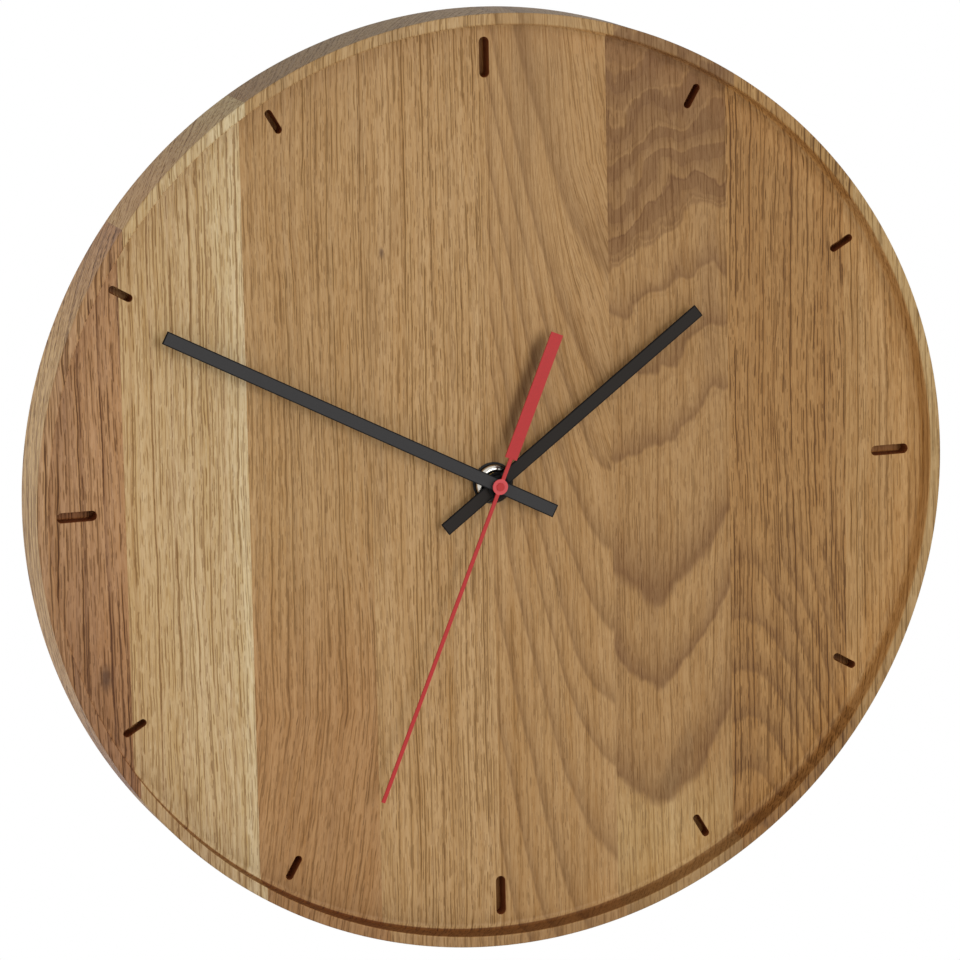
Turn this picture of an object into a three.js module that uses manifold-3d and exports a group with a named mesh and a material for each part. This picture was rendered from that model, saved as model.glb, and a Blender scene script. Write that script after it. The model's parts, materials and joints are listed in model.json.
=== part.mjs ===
// A round wall clock of solid oak: a dished body glued up from upright staves, routed hour slots,
// straight hands, and a battery quartz movement let into the back.
// Sizes are in millimetres. The clock is drawn in the dial's frame, with x to the right, y towards
// 12 o'clock and z from the wall towards the reader. The finished group is turned so that
// 12 o'clock is +Z and the dial faces -Y. The origin is on the hands' axis, at the wall.
import * as THREE from 'three';
import { ConvexGeometry } from 'three/addons/geometries/ConvexGeometry.js';
import { mergeVertices } from 'three/addons/utils/BufferGeometryUtils.js';
import Module from 'manifold-3d';

const wasm = await Module();
wasm.setup();

// Oak body
const bodyDiameter = 300;
const rimWidth = 3.7;
const rimRound = 0.8;
const recessDepth = 8.4;
const recessCove = 2.2; // radius at the foot of the recess wall
const dialWeb = 4.1; // wood left between the dial and the movement's pocket
const sideDepth = 21.2; // straight side, measured back from the front of the rim
const backInset = 8.8; // how far the bevelled back edge draws in
const staveWidth = 40;
const glueLine = 0.1;

// Hour slots, routed into the dial
const slotDepth = 6;
const slotInset = 4.4; // from the recess wall to the slots' outer ends
const quarterSlotLength = 12.8;
const quarterSlotWidth = 3.2;
const hourSlotLength = 8.4;
const hourSlotWidth = 2.4;

// Hands, with their angles clockwise from 12 o'clock in degrees
const handThickness = 0.6;
const handWidth = 4.3;
const handPitch = 1.7; // from one hand to the next along the arbor
const hourHandLength = 85.6;
const hourHandTail = 21.8;
const hourHubDiameter = 8.4;
const hourHandAngle = 53.2;
const minuteHandLength = 120.6;
const minuteHandTail = 21;
const minuteHubDiameter = 7;
const minuteHandAngle = 297.3;
const secondHandThickness = 0.5;
const secondHandLength = 107;
const secondNeedleWidth = 1.2;
const secondNeckLength = 9.5;
const secondTailLength = 51.7;
const secondTailWidth = 4.1;
const secondHubDiameter = 5;
const secondCapDiameter = 2.6;
const secondCapHeight = 0.3;
const secondColletDiameter = 2;
const secondColletLength = 0.6;
const secondHandAngle = 202.6;

// Nested arbors, and what clamps the movement to the dial
const secondArborDiameter = 1;
const minuteTubeDiameter = 3.2;
const hourTubeDiameter = 5;
const tubeProud = 0.2; // tube end beyond the hand that it carries
const bushDiameter = 8;
const bushProud = 0.3; // bush end beyond the nut
const bushFlangeDiameter = 11;
const bushFlangeThickness = 0.5;
const nutDiameter = 12.4;
const nutHeight = 2.3;
const nutEdge = 0.7; // straight edge below the nut's dome
const nutFaceWidth = 0.6; // flat ring on top of the dome
const washerDiameter = 13.4;
const washerThickness = 0.6;
const gasketDiameter = 24;
const gasketThickness = 0.8;

// Clearances
const runningGap = 0.1; // round an arbor that turns in its bore
const seatGap = 0.1; // between pieces that rest on or in each other
const pocketGap = 1; // round the movement in its pocket
const wheelRoom = 0.9; // between a wheel's teeth and what stands beside it
const drillGap = 0.4; // round the bush in the dial

// Movement case
const caseDepth = 16;
const caseSetBack = 0.5; // from the wall to the back of the case
const caseWall = 1.2;
const caseCorner = 3;
const coverDepth = 5;
const pocketCorner = 5;
const pivotDepth = 0.8; // pivot holes in the front wall

// Wheel train: spacings between arbors, directions in degrees, and levels counted from the front
const trainSpacing = 10.5;
const rotorSpacing = 9;
const motionSpacing = 11.25;
const thirdDirection = 30;
const intermediateDirection = 110;
const rotorDirection = 160; // seen from the intermediate wheel
const minuteWheelDirection = 180;
const wheelThickness = 1;
const levelPitch = 1.75;
const frontLevelDrop = 1.4; // front wall to the middle of the hour wheel
const pinionOverrun = 0.2;
const pivotDiameter = 1;
const wheelHubDiameter = 5.2;
const bridgeThickness = 1;
const bridgeMargin = 2.5;
const postDiameter = 3;
const pegDiameter = 1.6;
const pegLength = 1.4;

// Teeth: counts, then a stub involute form in shares of the module
const teeth = {
  rotorPinion: 8,
  intermediateWheel: 40,
  intermediatePinion: 8,
  secondWheel: 48,
  secondPinion: 8,
  thirdWheel: 60,
  thirdPinion: 8,
  centreWheel: 64,
  cannonPinion: 12,
  minuteWheel: 36,
  minutePinion: 10,
  hourWheel: 40,
};
const toothAddendum = 0.7;
const toothDedendum = 0.95;
const pressureAngle = THREE.MathUtils.degToRad(25);
const toothPlay = 0.06; // how much each tooth is thinned, for backlash
const mostPinionTeeth = 12; // gears up to this count get a bent flank, larger ones a straight one

// Setting knob on the back
const knobDiameter = 9;
const knobThickness = 1.8;
const knobSetBack = 0.2;
const knobRidges = 20;
const knobRidgeHeight = 0.35;
const knobHoleGap = 0.4;
const stemDiameter = 2.4;

// Stepping motor
const magnetDiameter = 5.2;
const magnetHeight = 2.2;
const magnetHoleDiameter = 2.2;
const statorEyeDiameter = 10;
const statorGap = 0.5; // air between the magnet and the stator
const statorThickness = 0.8;
const statorBarWidth = 3;
const statorLeft = 8.5; // rotor to the left leg
const statorRight = 11.45; // rotor to the right leg
const coilDiameter = 6.8;
const coilGap = 0.6; // between the stator's eye and the winding
const bobbinFlangeDiameter = 8;
const bobbinFlangeThickness = 0.8;
const bobbinWall = 0.4;

// Electrics
const boardThickness = 1;
const boardHeight = 10.5;
const boardStandOff = 3.3; // front wall to the board
const boardPegDiameter = 2.4;
const boardPegInset = 2;
const chipDiameter = 4.6;
const chipHeight = 0.9;
const crystalDiameter = 2;
const crystalLength = 6;
const stripThickness = 0.4;
const stripWidth = 6;
const stripRoom = 0.85; // beside the walls, for the contact strips
const batteryDiameter = 14.2;
const batteryLength = 50.5;
const batteryRoom = 0.45;
const batteryEndRoom = 1.5;
const capDiameter = 5.5;
const capLength = 1.4;

// Keyhole hanger in the back
const hangerDrop = 55; // top of the body to the plate's middle
const hangerWidth = 46;
const hangerDepth = 22;
const hangerThickness = 1.5;
const hangerCorner = 3;
const hangerSetBack = 0.2;
const hangerGap = 0.3;
const keyholeDiameter = 9;
const keyholeSlotWidth = 4.6;
const keyholeRise = 8;
const keyholeDrop = 4; // centre of the round hole below the plate's middle
const headRoom = 1.5; // wood cleared round the keyhole for the screw head on the wall
const headDepth = 10;
const screwSpacing = 34;
const screwDiameter = 2.8;
const screwHeadDiameter = 5.6;
const screwLength = 12;

// Round faces
const bodySegments = 72;
const roundSegments = 16;
const fineSegments = 24;
const smallSegments = 12;

// Worked-out radii, levels and places
const radians = THREE.MathUtils.degToRad;
const bodyRadius = bodyDiameter / 2;
const recessRadius = bodyRadius - rimWidth;
const hangerHeight = bodyRadius - hangerDrop;
const caseFrontZ = caseSetBack + caseDepth;
const roomFrontZ = caseFrontZ - caseWall;
const coverFrontZ = caseSetBack + coverDepth;
const pocketZ = caseFrontZ + gasketThickness + 2 * seatGap;
const dialZ = pocketZ + dialWeb;
const bodyDepth = dialZ + recessDepth;
const washerZ = dialZ + seatGap;
const nutZ = washerZ + washerThickness + seatGap;
const bushFrontZ = nutZ + nutHeight + bushProud;
const hourHandZ = bushFrontZ + handPitch - bushProud - handThickness;
const minuteHandZ = hourHandZ + handPitch;
const secondHandZ = minuteHandZ + handPitch;

const hourLevel = roomFrontZ - frontLevelDrop;
const motionLevel = hourLevel - levelPitch;
const centreLevel = motionLevel - levelPitch;
const thirdLevel = centreLevel - levelPitch;
const secondLevel = thirdLevel - levelPitch;
const intermediateLevel = secondLevel - levelPitch;
const bridgeFrontZ = intermediateLevel - levelPitch + wheelThickness / 2;
const bridgeBackZ = bridgeFrontZ - bridgeThickness;
const arborBackZ = bridgeBackZ + seatGap;
const arborFrontZ = roomFrontZ + pivotDepth - seatGap;

function along(start, degrees, distance) {
  const angle = radians(degrees);
  return {
    x: start.x + distance * Math.cos(angle),
    y: start.y + distance * Math.sin(angle),
  };
}

function pitchRadius(spacing, ownTeeth, otherTeeth) {
  return (spacing * ownTeeth) / (ownTeeth + otherTeeth);
}

function tipRadius(radius, count) {
  return radius + (toothAddendum * 2 * radius) / count;
}

const centre = { x: 0, y: 0 };
const thirdArbor = along(centre, thirdDirection, trainSpacing);
const intermediateArbor = along(centre, intermediateDirection, trainSpacing);
const rotorArbor = along(intermediateArbor, rotorDirection, rotorSpacing);
const minuteWheelArbor = along(centre, minuteWheelDirection, motionSpacing);

const centreWheelRadius = pitchRadius(trainSpacing, teeth.centreWheel, teeth.thirdPinion);
const thirdWheelRadius = pitchRadius(trainSpacing, teeth.thirdWheel, teeth.secondPinion);
const minuteWheelRadius = pitchRadius(motionSpacing, teeth.minuteWheel, teeth.cannonPinion);
const centreWheelReach = tipRadius(centreWheelRadius, teeth.centreWheel) + wheelRoom;
const thirdWheelReach = tipRadius(thirdWheelRadius, teeth.thirdWheel) + wheelRoom;
const minuteWheelReach = tipRadius(minuteWheelRadius, teeth.minuteWheel) + wheelRoom;
const bridgePosts = [
  along(minuteWheelArbor, 150, minuteWheelReach + postDiameter / 2),
  along(thirdArbor, 90, thirdWheelReach + postDiameter / 2),
  along(thirdArbor, -50, thirdWheelReach + postDiameter / 2),
];

const statorZ = thirdLevel - statorThickness / 2;
const coilY = rotorArbor.y + statorEyeDiameter / 2 + coilGap + coilDiameter / 2;
const coilZ = statorZ + statorThickness + seatGap + statorThickness / 2;
const leftLegX = rotorArbor.x - statorLeft;
const rightLegX = rotorArbor.x + statorRight;

const partitionTop = -centreWheelReach;
const bayTop = partitionTop - caseWall;
const bayBottom = bayTop - batteryDiameter - 2 * batteryRoom;
const roomTop = coilY + bobbinFlangeDiameter / 2 + stripRoom;
const roomHalf = batteryLength / 2 + batteryEndRoom;
const caseHalf = roomHalf + caseWall;
const caseTop = roomTop + caseWall;
const caseBottom = bayBottom - caseWall;
const batteryY = (bayTop + bayBottom) / 2;
const batteryZ = roomFrontZ - 2 * seatGap - batteryDiameter / 2;
const boardFrontZ = roomFrontZ - boardStandOff;
const boardBackZ = boardFrontZ - boardThickness;
const boardLeft = bridgePosts[1].x + postDiameter / 2 + wheelRoom;
const boardRight = roomHalf - stripRoom;
const boardTop = roomTop - stripRoom;
const boardBottom = boardTop - boardHeight;
const stripZ = (batteryZ + boardFrontZ - boardThickness / 2 - stripWidth) / 2;

// Solids: closed geometries joined and cut
function solidOf(geometry) {
  const bare = geometry.clone();
  bare.deleteAttribute('normal');
  bare.deleteAttribute('uv');
  const merged = mergeVertices(bare);
  const corners = merged.index.array;
  const triangles = [];
  for (let i = 0; i < corners.length; i += 3) {
    const [a, b, c] = corners.slice(i, i + 3);
    if (a !== b && b !== c && c !== a) {
      triangles.push(a, b, c);
    }
  }
  return new wasm.Manifold(
    new wasm.Mesh({
      numProp: 3,
      vertProperties: merged.attributes.position.array,
      triVerts: new Uint32Array(triangles),
    }),
  );
}

function geometryOf(solid) {
  const mesh = solid.getMesh();
  const geometry = new THREE.BufferGeometry();
  geometry.setAttribute('position', new THREE.BufferAttribute(mesh.vertProperties, 3));
  geometry.setIndex(new THREE.BufferAttribute(mesh.triVerts, 1));
  const faceted = geometry.toNonIndexed();
  faceted.computeVertexNormals();
  return faceted;
}

function join(...geometries) {
  return geometryOf(geometries.map(solidOf).reduce((whole, next) => whole.add(next)));
}

function cut(geometry, ...tools) {
  const rest = tools.map(solidOf).reduce((whole, tool) => whole.subtract(tool), solidOf(geometry));
  return geometryOf(rest);
}

function common(first, second) {
  return geometryOf(solidOf(first).intersect(solidOf(second)));
}

// Basic forms, standing along z from one level to another
function rod(diameter, fromZ, toZ, place = centre, segments = roundSegments) {
  const length = toZ - fromZ;
  const cylinder = new THREE.CylinderGeometry(diameter / 2, diameter / 2, length, segments);
  return cylinder.rotateX(Math.PI / 2).translate(place.x, place.y, fromZ + length / 2);
}

function prism(shape, fromZ, toZ, curveSegments = smallSegments) {
  const options = { depth: toZ - fromZ, bevelEnabled: false, curveSegments };
  return new THREE.ExtrudeGeometry(shape, options).translate(0, 0, fromZ);
}

function block(left, right, bottom, top, fromZ, toZ) {
  const box = new THREE.BoxGeometry(right - left, top - bottom, toZ - fromZ);
  return box.translate((left + right) / 2, (bottom + top) / 2, (fromZ + toZ) / 2);
}

function turned(profile, segments = fineSegments) {
  const points = profile.map(([radius, z]) => new THREE.Vector2(radius, z));
  return new THREE.LatheGeometry(points, segments).rotateX(Math.PI / 2);
}

function tube(outer, inner, fromZ, toZ, segments = roundSegments) {
  const corners = [
    [inner / 2, fromZ],
    [outer / 2, fromZ],
    [outer / 2, toZ],
    [inner / 2, toZ],
    [inner / 2, fromZ],
  ];
  return turned(corners, segments);
}

function arc(centreRadius, centreZ, radius, fromDegrees, toDegrees, steps) {
  return Array.from({ length: steps + 1 }, (_, i) => {
    const angle = radians(fromDegrees + ((toDegrees - fromDegrees) * i) / steps);
    return [centreRadius + radius * Math.cos(angle), centreZ + radius * Math.sin(angle)];
  });
}

function roundedRectangle(left, right, bottom, top, corner) {
  const shape = new THREE.Shape();
  shape.absarc(right - corner, bottom + corner, corner, -Math.PI / 2, 0);
  shape.absarc(right - corner, top - corner, corner, 0, Math.PI / 2);
  shape.absarc(left + corner, top - corner, corner, Math.PI / 2, Math.PI);
  shape.absarc(left + corner, bottom + corner, corner, Math.PI, (3 * Math.PI) / 2);
  return shape;
}

// An upright slot with round ends, given by the height of its two ends
function uprightSlot(width, bottom, top) {
  const shape = new THREE.Shape();
  shape.absarc(0, top - width / 2, width / 2, 0, Math.PI);
  shape.absarc(0, bottom + width / 2, width / 2, Math.PI, 2 * Math.PI);
  return shape;
}

// A flat strip bent along a route: the route is walked out along one side and back along the other
function bentStrip(route, thickness) {
  const points = route.map(([x, y]) => new THREE.Vector2(x, y));
  const side = (sign) =>
    points.map((point, i) => {
      const before = point.clone().sub(points[Math.max(i - 1, 0)]).normalize();
      const after = points[Math.min(i + 1, points.length - 1)].clone().sub(point).normalize();
      const heading = before.clone().add(after).normalize();
      const lean = heading.dot(i > 0 ? before : after);
      const normal = new THREE.Vector2(-heading.y, heading.x);
      return point.clone().addScaledVector(normal, (sign * thickness) / (2 * lean));
    });
  return new THREE.Shape([...side(-1), ...side(1).reverse()]);
}

// Gears
function involute(angle) {
  return Math.tan(angle) - angle;
}

function gearShape(count, radius, toothAngle) {
  const module = (2 * radius) / count;
  const baseRadius = radius * Math.cos(pressureAngle);
  const root = radius - toothDedendum * module;
  const tip = tipRadius(radius, count);
  const flank = count > mostPinionTeeth ? [root, tip] : [root, radius, tip];
  const halfTooth = Math.PI / (2 * count) - toothPlay / (2 * radius) + involute(pressureAngle);
  const halfAngle = (r) => halfTooth - involute(Math.acos(Math.min(1, baseRadius / r)));
  const points = [];
  for (let i = 0; i < count; i += 1) {
    const middle = toothAngle + (2 * Math.PI * i) / count;
    const corners = [
      ...flank.map((r) => [r, middle - halfAngle(r)]),
      ...flank.toReversed().map((r) => [r, middle + halfAngle(r)]),
    ];
    points.push(...corners.map(([r, a]) => new THREE.Vector2(r * Math.cos(a), r * Math.sin(a))));
  }
  return new THREE.Shape(points);
}

function gear(count, radius, toothAngle, fromZ, toZ) {
  return prism(gearShape(count, radius, toothAngle), fromZ, toZ);
}

function wheel(count, radius, toothAngle, level) {
  return gear(count, radius, toothAngle, level - wheelThickness / 2, level + wheelThickness / 2);
}

// A pinion that grows out of the wheel behind it and meshes at the level in front
function pinion(count, radius, toothAngle, wheelLevel, meshLevel) {
  return gear(count, radius, toothAngle, wheelLevel, meshLevel + wheelThickness / 2 + pinionOverrun);
}

// Where a tooth of the second gear of a pair points, so that it falls in a gap of the first
function meshedAngle(firstAngle, firstTeeth, secondTeeth, direction) {
  const heading = radians(direction);
  const teethPast = ((firstAngle - heading) * firstTeeth) / (2 * Math.PI);
  return heading + Math.PI + ((0.5 - teethPast) * 2 * Math.PI) / secondTeeth;
}

// Finishes
const oakTones = [0x9c6c45, 0xc49a64, 0xae8252, 0xb68a55, 0xb08049, 0xa5723f, 0xad7c49, 0xa37243];
const finishes = {
  blackLacquer: { color: 0x2b2c30, roughness: 0.45, metalness: 0.2 },
  redLacquer: { color: 0xc23338, roughness: 0.4, metalness: 0.1 },
  nickel: { color: 0xd8d4cc, roughness: 0.15, metalness: 1 },
  brass: { color: 0xb8934a, roughness: 0.3, metalness: 1 },
  steel: { color: 0xa9abae, roughness: 0.35, metalness: 1 },
  siliconSteel: { color: 0x8d8f93, roughness: 0.45, metalness: 1 },
  magnet: { color: 0x3b3b3f, roughness: 0.6, metalness: 0.6 },
  copper: { color: 0xb06a3a, roughness: 0.35, metalness: 1 },
  casePlastic: { color: 0x17181a, roughness: 0.55, metalness: 0 },
  gearPlastic: { color: 0xe8e4d8, roughness: 0.5, metalness: 0 },
  bridgePlastic: { color: 0xd9d6cc, roughness: 0.55, metalness: 0 },
  bobbinPlastic: { color: 0xd7c9a0, roughness: 0.5, metalness: 0 },
  rubber: { color: 0x141414, roughness: 0.85, metalness: 0 },
  fibre: { color: 0x1d1b1a, roughness: 0.8, metalness: 0 },
  board: { color: 0x2f6b3f, roughness: 0.5, metalness: 0 },
  epoxy: { color: 0x101010, roughness: 0.3, metalness: 0 },
  batterySleeve: { color: 0x3d4a57, roughness: 0.35, metalness: 0.4 },
};

function piece(name, geometry, finish) {
  const mesh = new THREE.Mesh(geometry, new THREE.MeshStandardMaterial(finish));
  mesh.name = name;
  return mesh;
}

function at(place, mesh) {
  mesh.position.set(place.x, place.y, 0);
  return mesh;
}

// Oak body: one turning, cut for the slots, the movement and the hanger, then parted at the glue lines
function bodyTurning() {
  const round = Math.min(rimRound, rimWidth / 2);
  const cove = Math.min(recessCove, slotInset, recessDepth / 2);
  return turned(
    [
      [0, 0],
      [bodyRadius - backInset, 0],
      [bodyRadius, bodyDepth - sideDepth],
      ...arc(bodyRadius - round, bodyDepth - round, round, 0, 90, 2),
      ...arc(recessRadius + round, bodyDepth - round, round, 90, 180, 2),
      ...arc(recessRadius - cove, dialZ + cove, cove, 0, -90, 2),
      [0, dialZ],
    ],
    bodySegments,
  );
}

function hourSlots() {
  const outerEnd = recessRadius - slotInset;
  return Array.from({ length: 12 }, (_, hour) => {
    const quarter = hour % 3 === 0;
    const length = quarter ? quarterSlotLength : hourSlotLength;
    const width = quarter ? quarterSlotWidth : hourSlotWidth;
    const shape = uprightSlot(width, outerEnd - length, outerEnd);
    return prism(shape, dialZ - slotDepth, dialZ + 1, 6).rotateZ(-radians(30 * hour));
  });
}

function movementPocket() {
  const half = caseHalf + pocketGap;
  const outline = roundedRectangle(-half, half, caseBottom - pocketGap, caseTop + pocketGap, pocketCorner);
  return prism(outline, -1, pocketZ, 6);
}

function hangerOutline(grow) {
  return roundedRectangle(
    -hangerWidth / 2 - grow,
    hangerWidth / 2 + grow,
    hangerHeight - hangerDepth / 2 - grow,
    hangerHeight + hangerDepth / 2 + grow,
    hangerCorner,
  );
}

const screwPlaces = [-1, 1].map((side) => ({ x: (side * screwSpacing) / 2, y: hangerHeight }));
const keyholeY = hangerHeight - keyholeDrop;
const hangerFrontZ = hangerSetBack + hangerThickness;

function hangerCuts() {
  const headWidth = keyholeDiameter + 2 * headRoom;
  const top = keyholeY + keyholeRise + headWidth / 2;
  const headRecess = uprightSlot(headWidth, keyholeY - headWidth / 2, top);
  return [
    prism(hangerOutline(hangerGap), -1, hangerFrontZ + seatGap, 4),
    prism(headRecess, -1, headDepth),
    ...screwPlaces.map((place) =>
      rod(screwDiameter + 2 * seatGap, 0, hangerSetBack + screwLength + seatGap, place, smallSegments),
    ),
  ];
}

function oakStaves() {
  const body = cut(
    bodyTurning(),
    ...hourSlots(),
    movementPocket(),
    rod(bushDiameter + 2 * drillGap, 0, bodyDepth),
    ...hangerCuts(),
  );
  const half = Math.ceil(bodyRadius / staveWidth);
  return Array.from({ length: 2 * half }, (_, i) => {
    const left = (i - half) * staveWidth + glueLine / 2;
    const right = left + staveWidth - glueLine;
    const slab = block(left, right, -bodyRadius - 1, bodyRadius + 1, -1, bodyDepth + 1);
    const finish = { color: oakTones[i % oakTones.length], roughness: 0.65, metalness: 0 };
    return piece(`stave_${i + 1}`, common(body, slab), finish);
  });
}

// Keyhole plate with its two countersunk screws
function hangerPlate() {
  const slotTop = keyholeY + keyholeRise + keyholeSlotWidth / 2;
  const slot = uprightSlot(keyholeSlotWidth, keyholeY - keyholeSlotWidth / 2, slotTop);
  const countersinks = screwPlaces.map((place) => screwForm(place, seatGap));
  return cut(
    prism(hangerOutline(0), hangerSetBack, hangerFrontZ, 4),
    rod(keyholeDiameter, -1, hangerFrontZ + 1, { x: 0, y: keyholeY }),
    prism(slot, -1, hangerFrontZ + 1, 6),
    ...countersinks,
  );
}

function screwForm(place, grow) {
  const head = screwHeadDiameter / 2 + grow;
  const shank = screwDiameter / 2 + grow;
  const backZ = hangerSetBack - grow;
  const profile = [
    [0, backZ],
    [head, backZ],
    [shank, hangerSetBack + head - shank],
    [shank, hangerSetBack + screwLength - screwDiameter],
    [0, hangerSetBack + screwLength],
  ];
  return turned(profile, smallSegments).translate(place.x, place.y, 0);
}

function hanger() {
  return [
    piece('hanger_plate', hangerPlate(), finishes.brass),
    piece('hanger_screw_left', screwForm(screwPlaces[0], 0), finishes.brass),
    piece('hanger_screw_right', screwForm(screwPlaces[1], 0), finishes.brass),
  ];
}

// Movement case: a moulded tub with a battery bay, posts for the bridge and pivot holes in its front wall
const pivotArbors = [thirdArbor, intermediateArbor, rotorArbor];

function caseOutline() {
  return roundedRectangle(-caseHalf, caseHalf, caseBottom, caseTop, caseCorner);
}

const boardPegs = [
  { x: boardLeft + boardPegInset, y: boardTop - boardPegInset },
  { x: boardRight - boardPegInset, y: boardBottom + boardPegInset },
];

function movementCase() {
  const roomCorner = caseCorner - caseWall;
  const room = roundedRectangle(-roomHalf, roomHalf, partitionTop, roomTop, roomCorner);
  const bay = roundedRectangle(-roomHalf, roomHalf, bayBottom, bayTop, roomCorner);
  const stripNotch = stripThickness + 4 * seatGap;
  const notch = (left) =>
    block(left, left + stripNotch, bayTop - roomCorner, partitionTop + roomCorner,
      stripZ - 2 * seatGap, stripZ + stripWidth + 2 * seatGap);
  const shell = cut(
    prism(caseOutline(), caseSetBack, caseFrontZ, 4),
    block(-caseHalf - 1, caseHalf + 1, partitionTop, caseTop + 1, -1, coverFrontZ),
    prism(room, -1, roomFrontZ, 4),
    prism(bay, -1, roomFrontZ, 4),
    notch(-roomHalf),
    notch(roomHalf - stripNotch),
    rod(bushDiameter + 2 * seatGap, roomFrontZ - 1, caseFrontZ + 1),
    ...pivotArbors.map((place) => rod(pivotDiameter + 2 * runningGap, roomFrontZ - 1,
      roomFrontZ + pivotDepth, place, smallSegments)),
    rod(stemDiameter + 2 * runningGap, roomFrontZ - 1, roomFrontZ + pivotDepth, minuteWheelArbor),
  );
  const intoWall = roomFrontZ + caseWall / 2;
  const posts = bridgePosts.flatMap((place) => [
    rod(postDiameter, bridgeFrontZ + seatGap, intoWall, place, smallSegments),
    rod(pegDiameter, bridgeFrontZ - pegLength, intoWall, place, smallSegments),
  ]);
  const pegs = boardPegs.map((place) =>
    rod(boardPegDiameter, boardFrontZ + seatGap, intoWall, place, smallSegments));
  return join(shell, ...posts, ...pegs);
}

// Back cover over the wheels, with the hole that the setting knob turns in
function movementCover() {
  const wallBottom = partitionTop + seatGap;
  const bottom = wallBottom + caseWall;
  const cavity = roundedRectangle(-roomHalf, roomHalf, bottom, roomTop, caseCorner - caseWall);
  const lid = common(
    prism(caseOutline(), caseSetBack, coverFrontZ - seatGap, 4),
    block(-caseHalf - 1, caseHalf + 1, wallBottom, caseTop + 1, -1, coverFrontZ + 1),
  );
  return cut(
    lid,
    prism(cavity, caseSetBack + caseWall, coverFrontZ + 1, 4),
    rod(knobDiameter + 2 * knobHoleGap, -1, coverFrontZ, minuteWheelArbor, fineSegments),
  );
}

// Threaded bush, rubber gasket, fibre washer and domed nut
function threadedBush() {
  const bore = hourTubeDiameter / 2 + runningGap;
  const flangeFrontZ = roomFrontZ - seatGap;
  return turned([
    [bore, flangeFrontZ - bushFlangeThickness],
    [bushFlangeDiameter / 2, flangeFrontZ - bushFlangeThickness],
    [bushFlangeDiameter / 2, flangeFrontZ],
    [bushDiameter / 2, flangeFrontZ],
    [bushDiameter / 2, bushFrontZ],
    [bore, bushFrontZ],
    [bore, flangeFrontZ - bushFlangeThickness],
  ]);
}

function domedNut() {
  const bore = bushDiameter / 2 + seatGap;
  const rise = nutHeight - nutEdge;
  const face = bore + nutFaceWidth;
  const dome = Array.from({ length: 5 }, (_, i) => {
    const angle = (Math.PI / 2) * (i / 4);
    return [face + (nutDiameter / 2 - face) * Math.cos(angle), nutZ + nutEdge + rise * Math.sin(angle)];
  });
  return turned([[bore, nutZ], [nutDiameter / 2, nutZ], ...dome, [bore, nutZ + nutHeight], [bore, nutZ]]);
}

function fixings() {
  const bore = bushDiameter + 2 * seatGap;
  const gasketZ = caseFrontZ + seatGap;
  const gasket = tube(gasketDiameter, bore, gasketZ, gasketZ + gasketThickness, fineSegments);
  const washer = tube(washerDiameter, bore, washerZ, washerZ + washerThickness, fineSegments);
  return [
    piece('threaded_bush', threadedBush(), finishes.brass),
    piece('case_gasket', gasket, finishes.rubber),
    piece('dial_washer', washer, finishes.fibre),
    piece('fixing_nut', domedNut(), finishes.nickel),
  ];
}

// Bridge that carries the back pivots: a plate drawn round its bearings and pegs, with the stem's hole
function trainBridge() {
  const bearings = [centre, ...pivotArbors];
  const corners = [...bearings, ...bridgePosts].flatMap((place) =>
    [bridgeBackZ, bridgeFrontZ].flatMap((z) =>
      Array.from({ length: smallSegments }, (_, i) => {
        const edge = along(place, (360 * i) / smallSegments, bridgeMargin);
        return new THREE.Vector3(edge.x, edge.y, z);
      }),
    ),
  );
  const hole = (diameter, place) =>
    rod(diameter, bridgeBackZ - 1, bridgeFrontZ + 1, place, smallSegments);
  return cut(
    new ConvexGeometry(corners),
    ...bearings.map((place) => hole(pivotDiameter + 2 * runningGap, place)),
    ...bridgePosts.map((place) => hole(pegDiameter + 2 * seatGap, place)),
    hole(stemDiameter + 2 * runningGap, minuteWheelArbor),
  );
}

// Stepping motor: rotor, stator with its eye, core and wound bobbin
const rotorPinionRadius = pitchRadius(rotorSpacing, teeth.rotorPinion, teeth.intermediateWheel);
const rotorToothAngle = 0;

function rotorPinion() {
  const backZ = intermediateLevel - wheelThickness / 2 - pinionOverrun;
  const frontZ = intermediateLevel + wheelThickness / 2 + pinionOverrun;
  const magnetTop = statorZ + statorThickness / 2 + magnetHeight / 2;
  return join(
    rod(pivotDiameter, arborBackZ, arborFrontZ, centre, smallSegments),
    gear(teeth.rotorPinion, rotorPinionRadius, rotorToothAngle, backZ, frontZ),
    rod(magnetHoleDiameter - 2 * seatGap, frontZ - pinionOverrun, magnetTop + seatGap),
  );
}

function rotorMagnet() {
  const middle = statorZ + statorThickness / 2;
  return tube(magnetDiameter, magnetHoleDiameter, middle - magnetHeight / 2, middle + magnetHeight / 2);
}

function stator() {
  const half = statorBarWidth / 2;
  const top = coilY + half;
  const frontZ = statorZ + statorThickness;
  const bottom = rotorArbor.y - half;
  const bar = block(leftLegX - half, rightLegX + half, bottom, rotorArbor.y + half, statorZ, frontZ);
  const leg = (x) => block(x - half, x + half, bottom, top, statorZ, frontZ);
  const eye = rod(statorEyeDiameter, statorZ, frontZ, rotorArbor);
  const plate = join(bar, leg(leftLegX), leg(rightLegX), eye);
  return cut(plate, rod(magnetDiameter + 2 * statorGap, statorZ - 1, frontZ + 1, rotorArbor));
}

const coreHalf = statorBarWidth / 2;
const bobbinLeft = leftLegX + coreHalf + seatGap;
const bobbinRight = rightLegX - coreHalf - seatGap;

function coilCore() {
  const backZ = coilZ - statorThickness / 2;
  return block(leftLegX - coreHalf, rightLegX + coreHalf, coilY - coreHalf, coilY + coreHalf,
    backZ, backZ + statorThickness);
}

function alongCoil(geometry) {
  return geometry.rotateY(Math.PI / 2).translate(0, coilY, coilZ);
}

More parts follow.
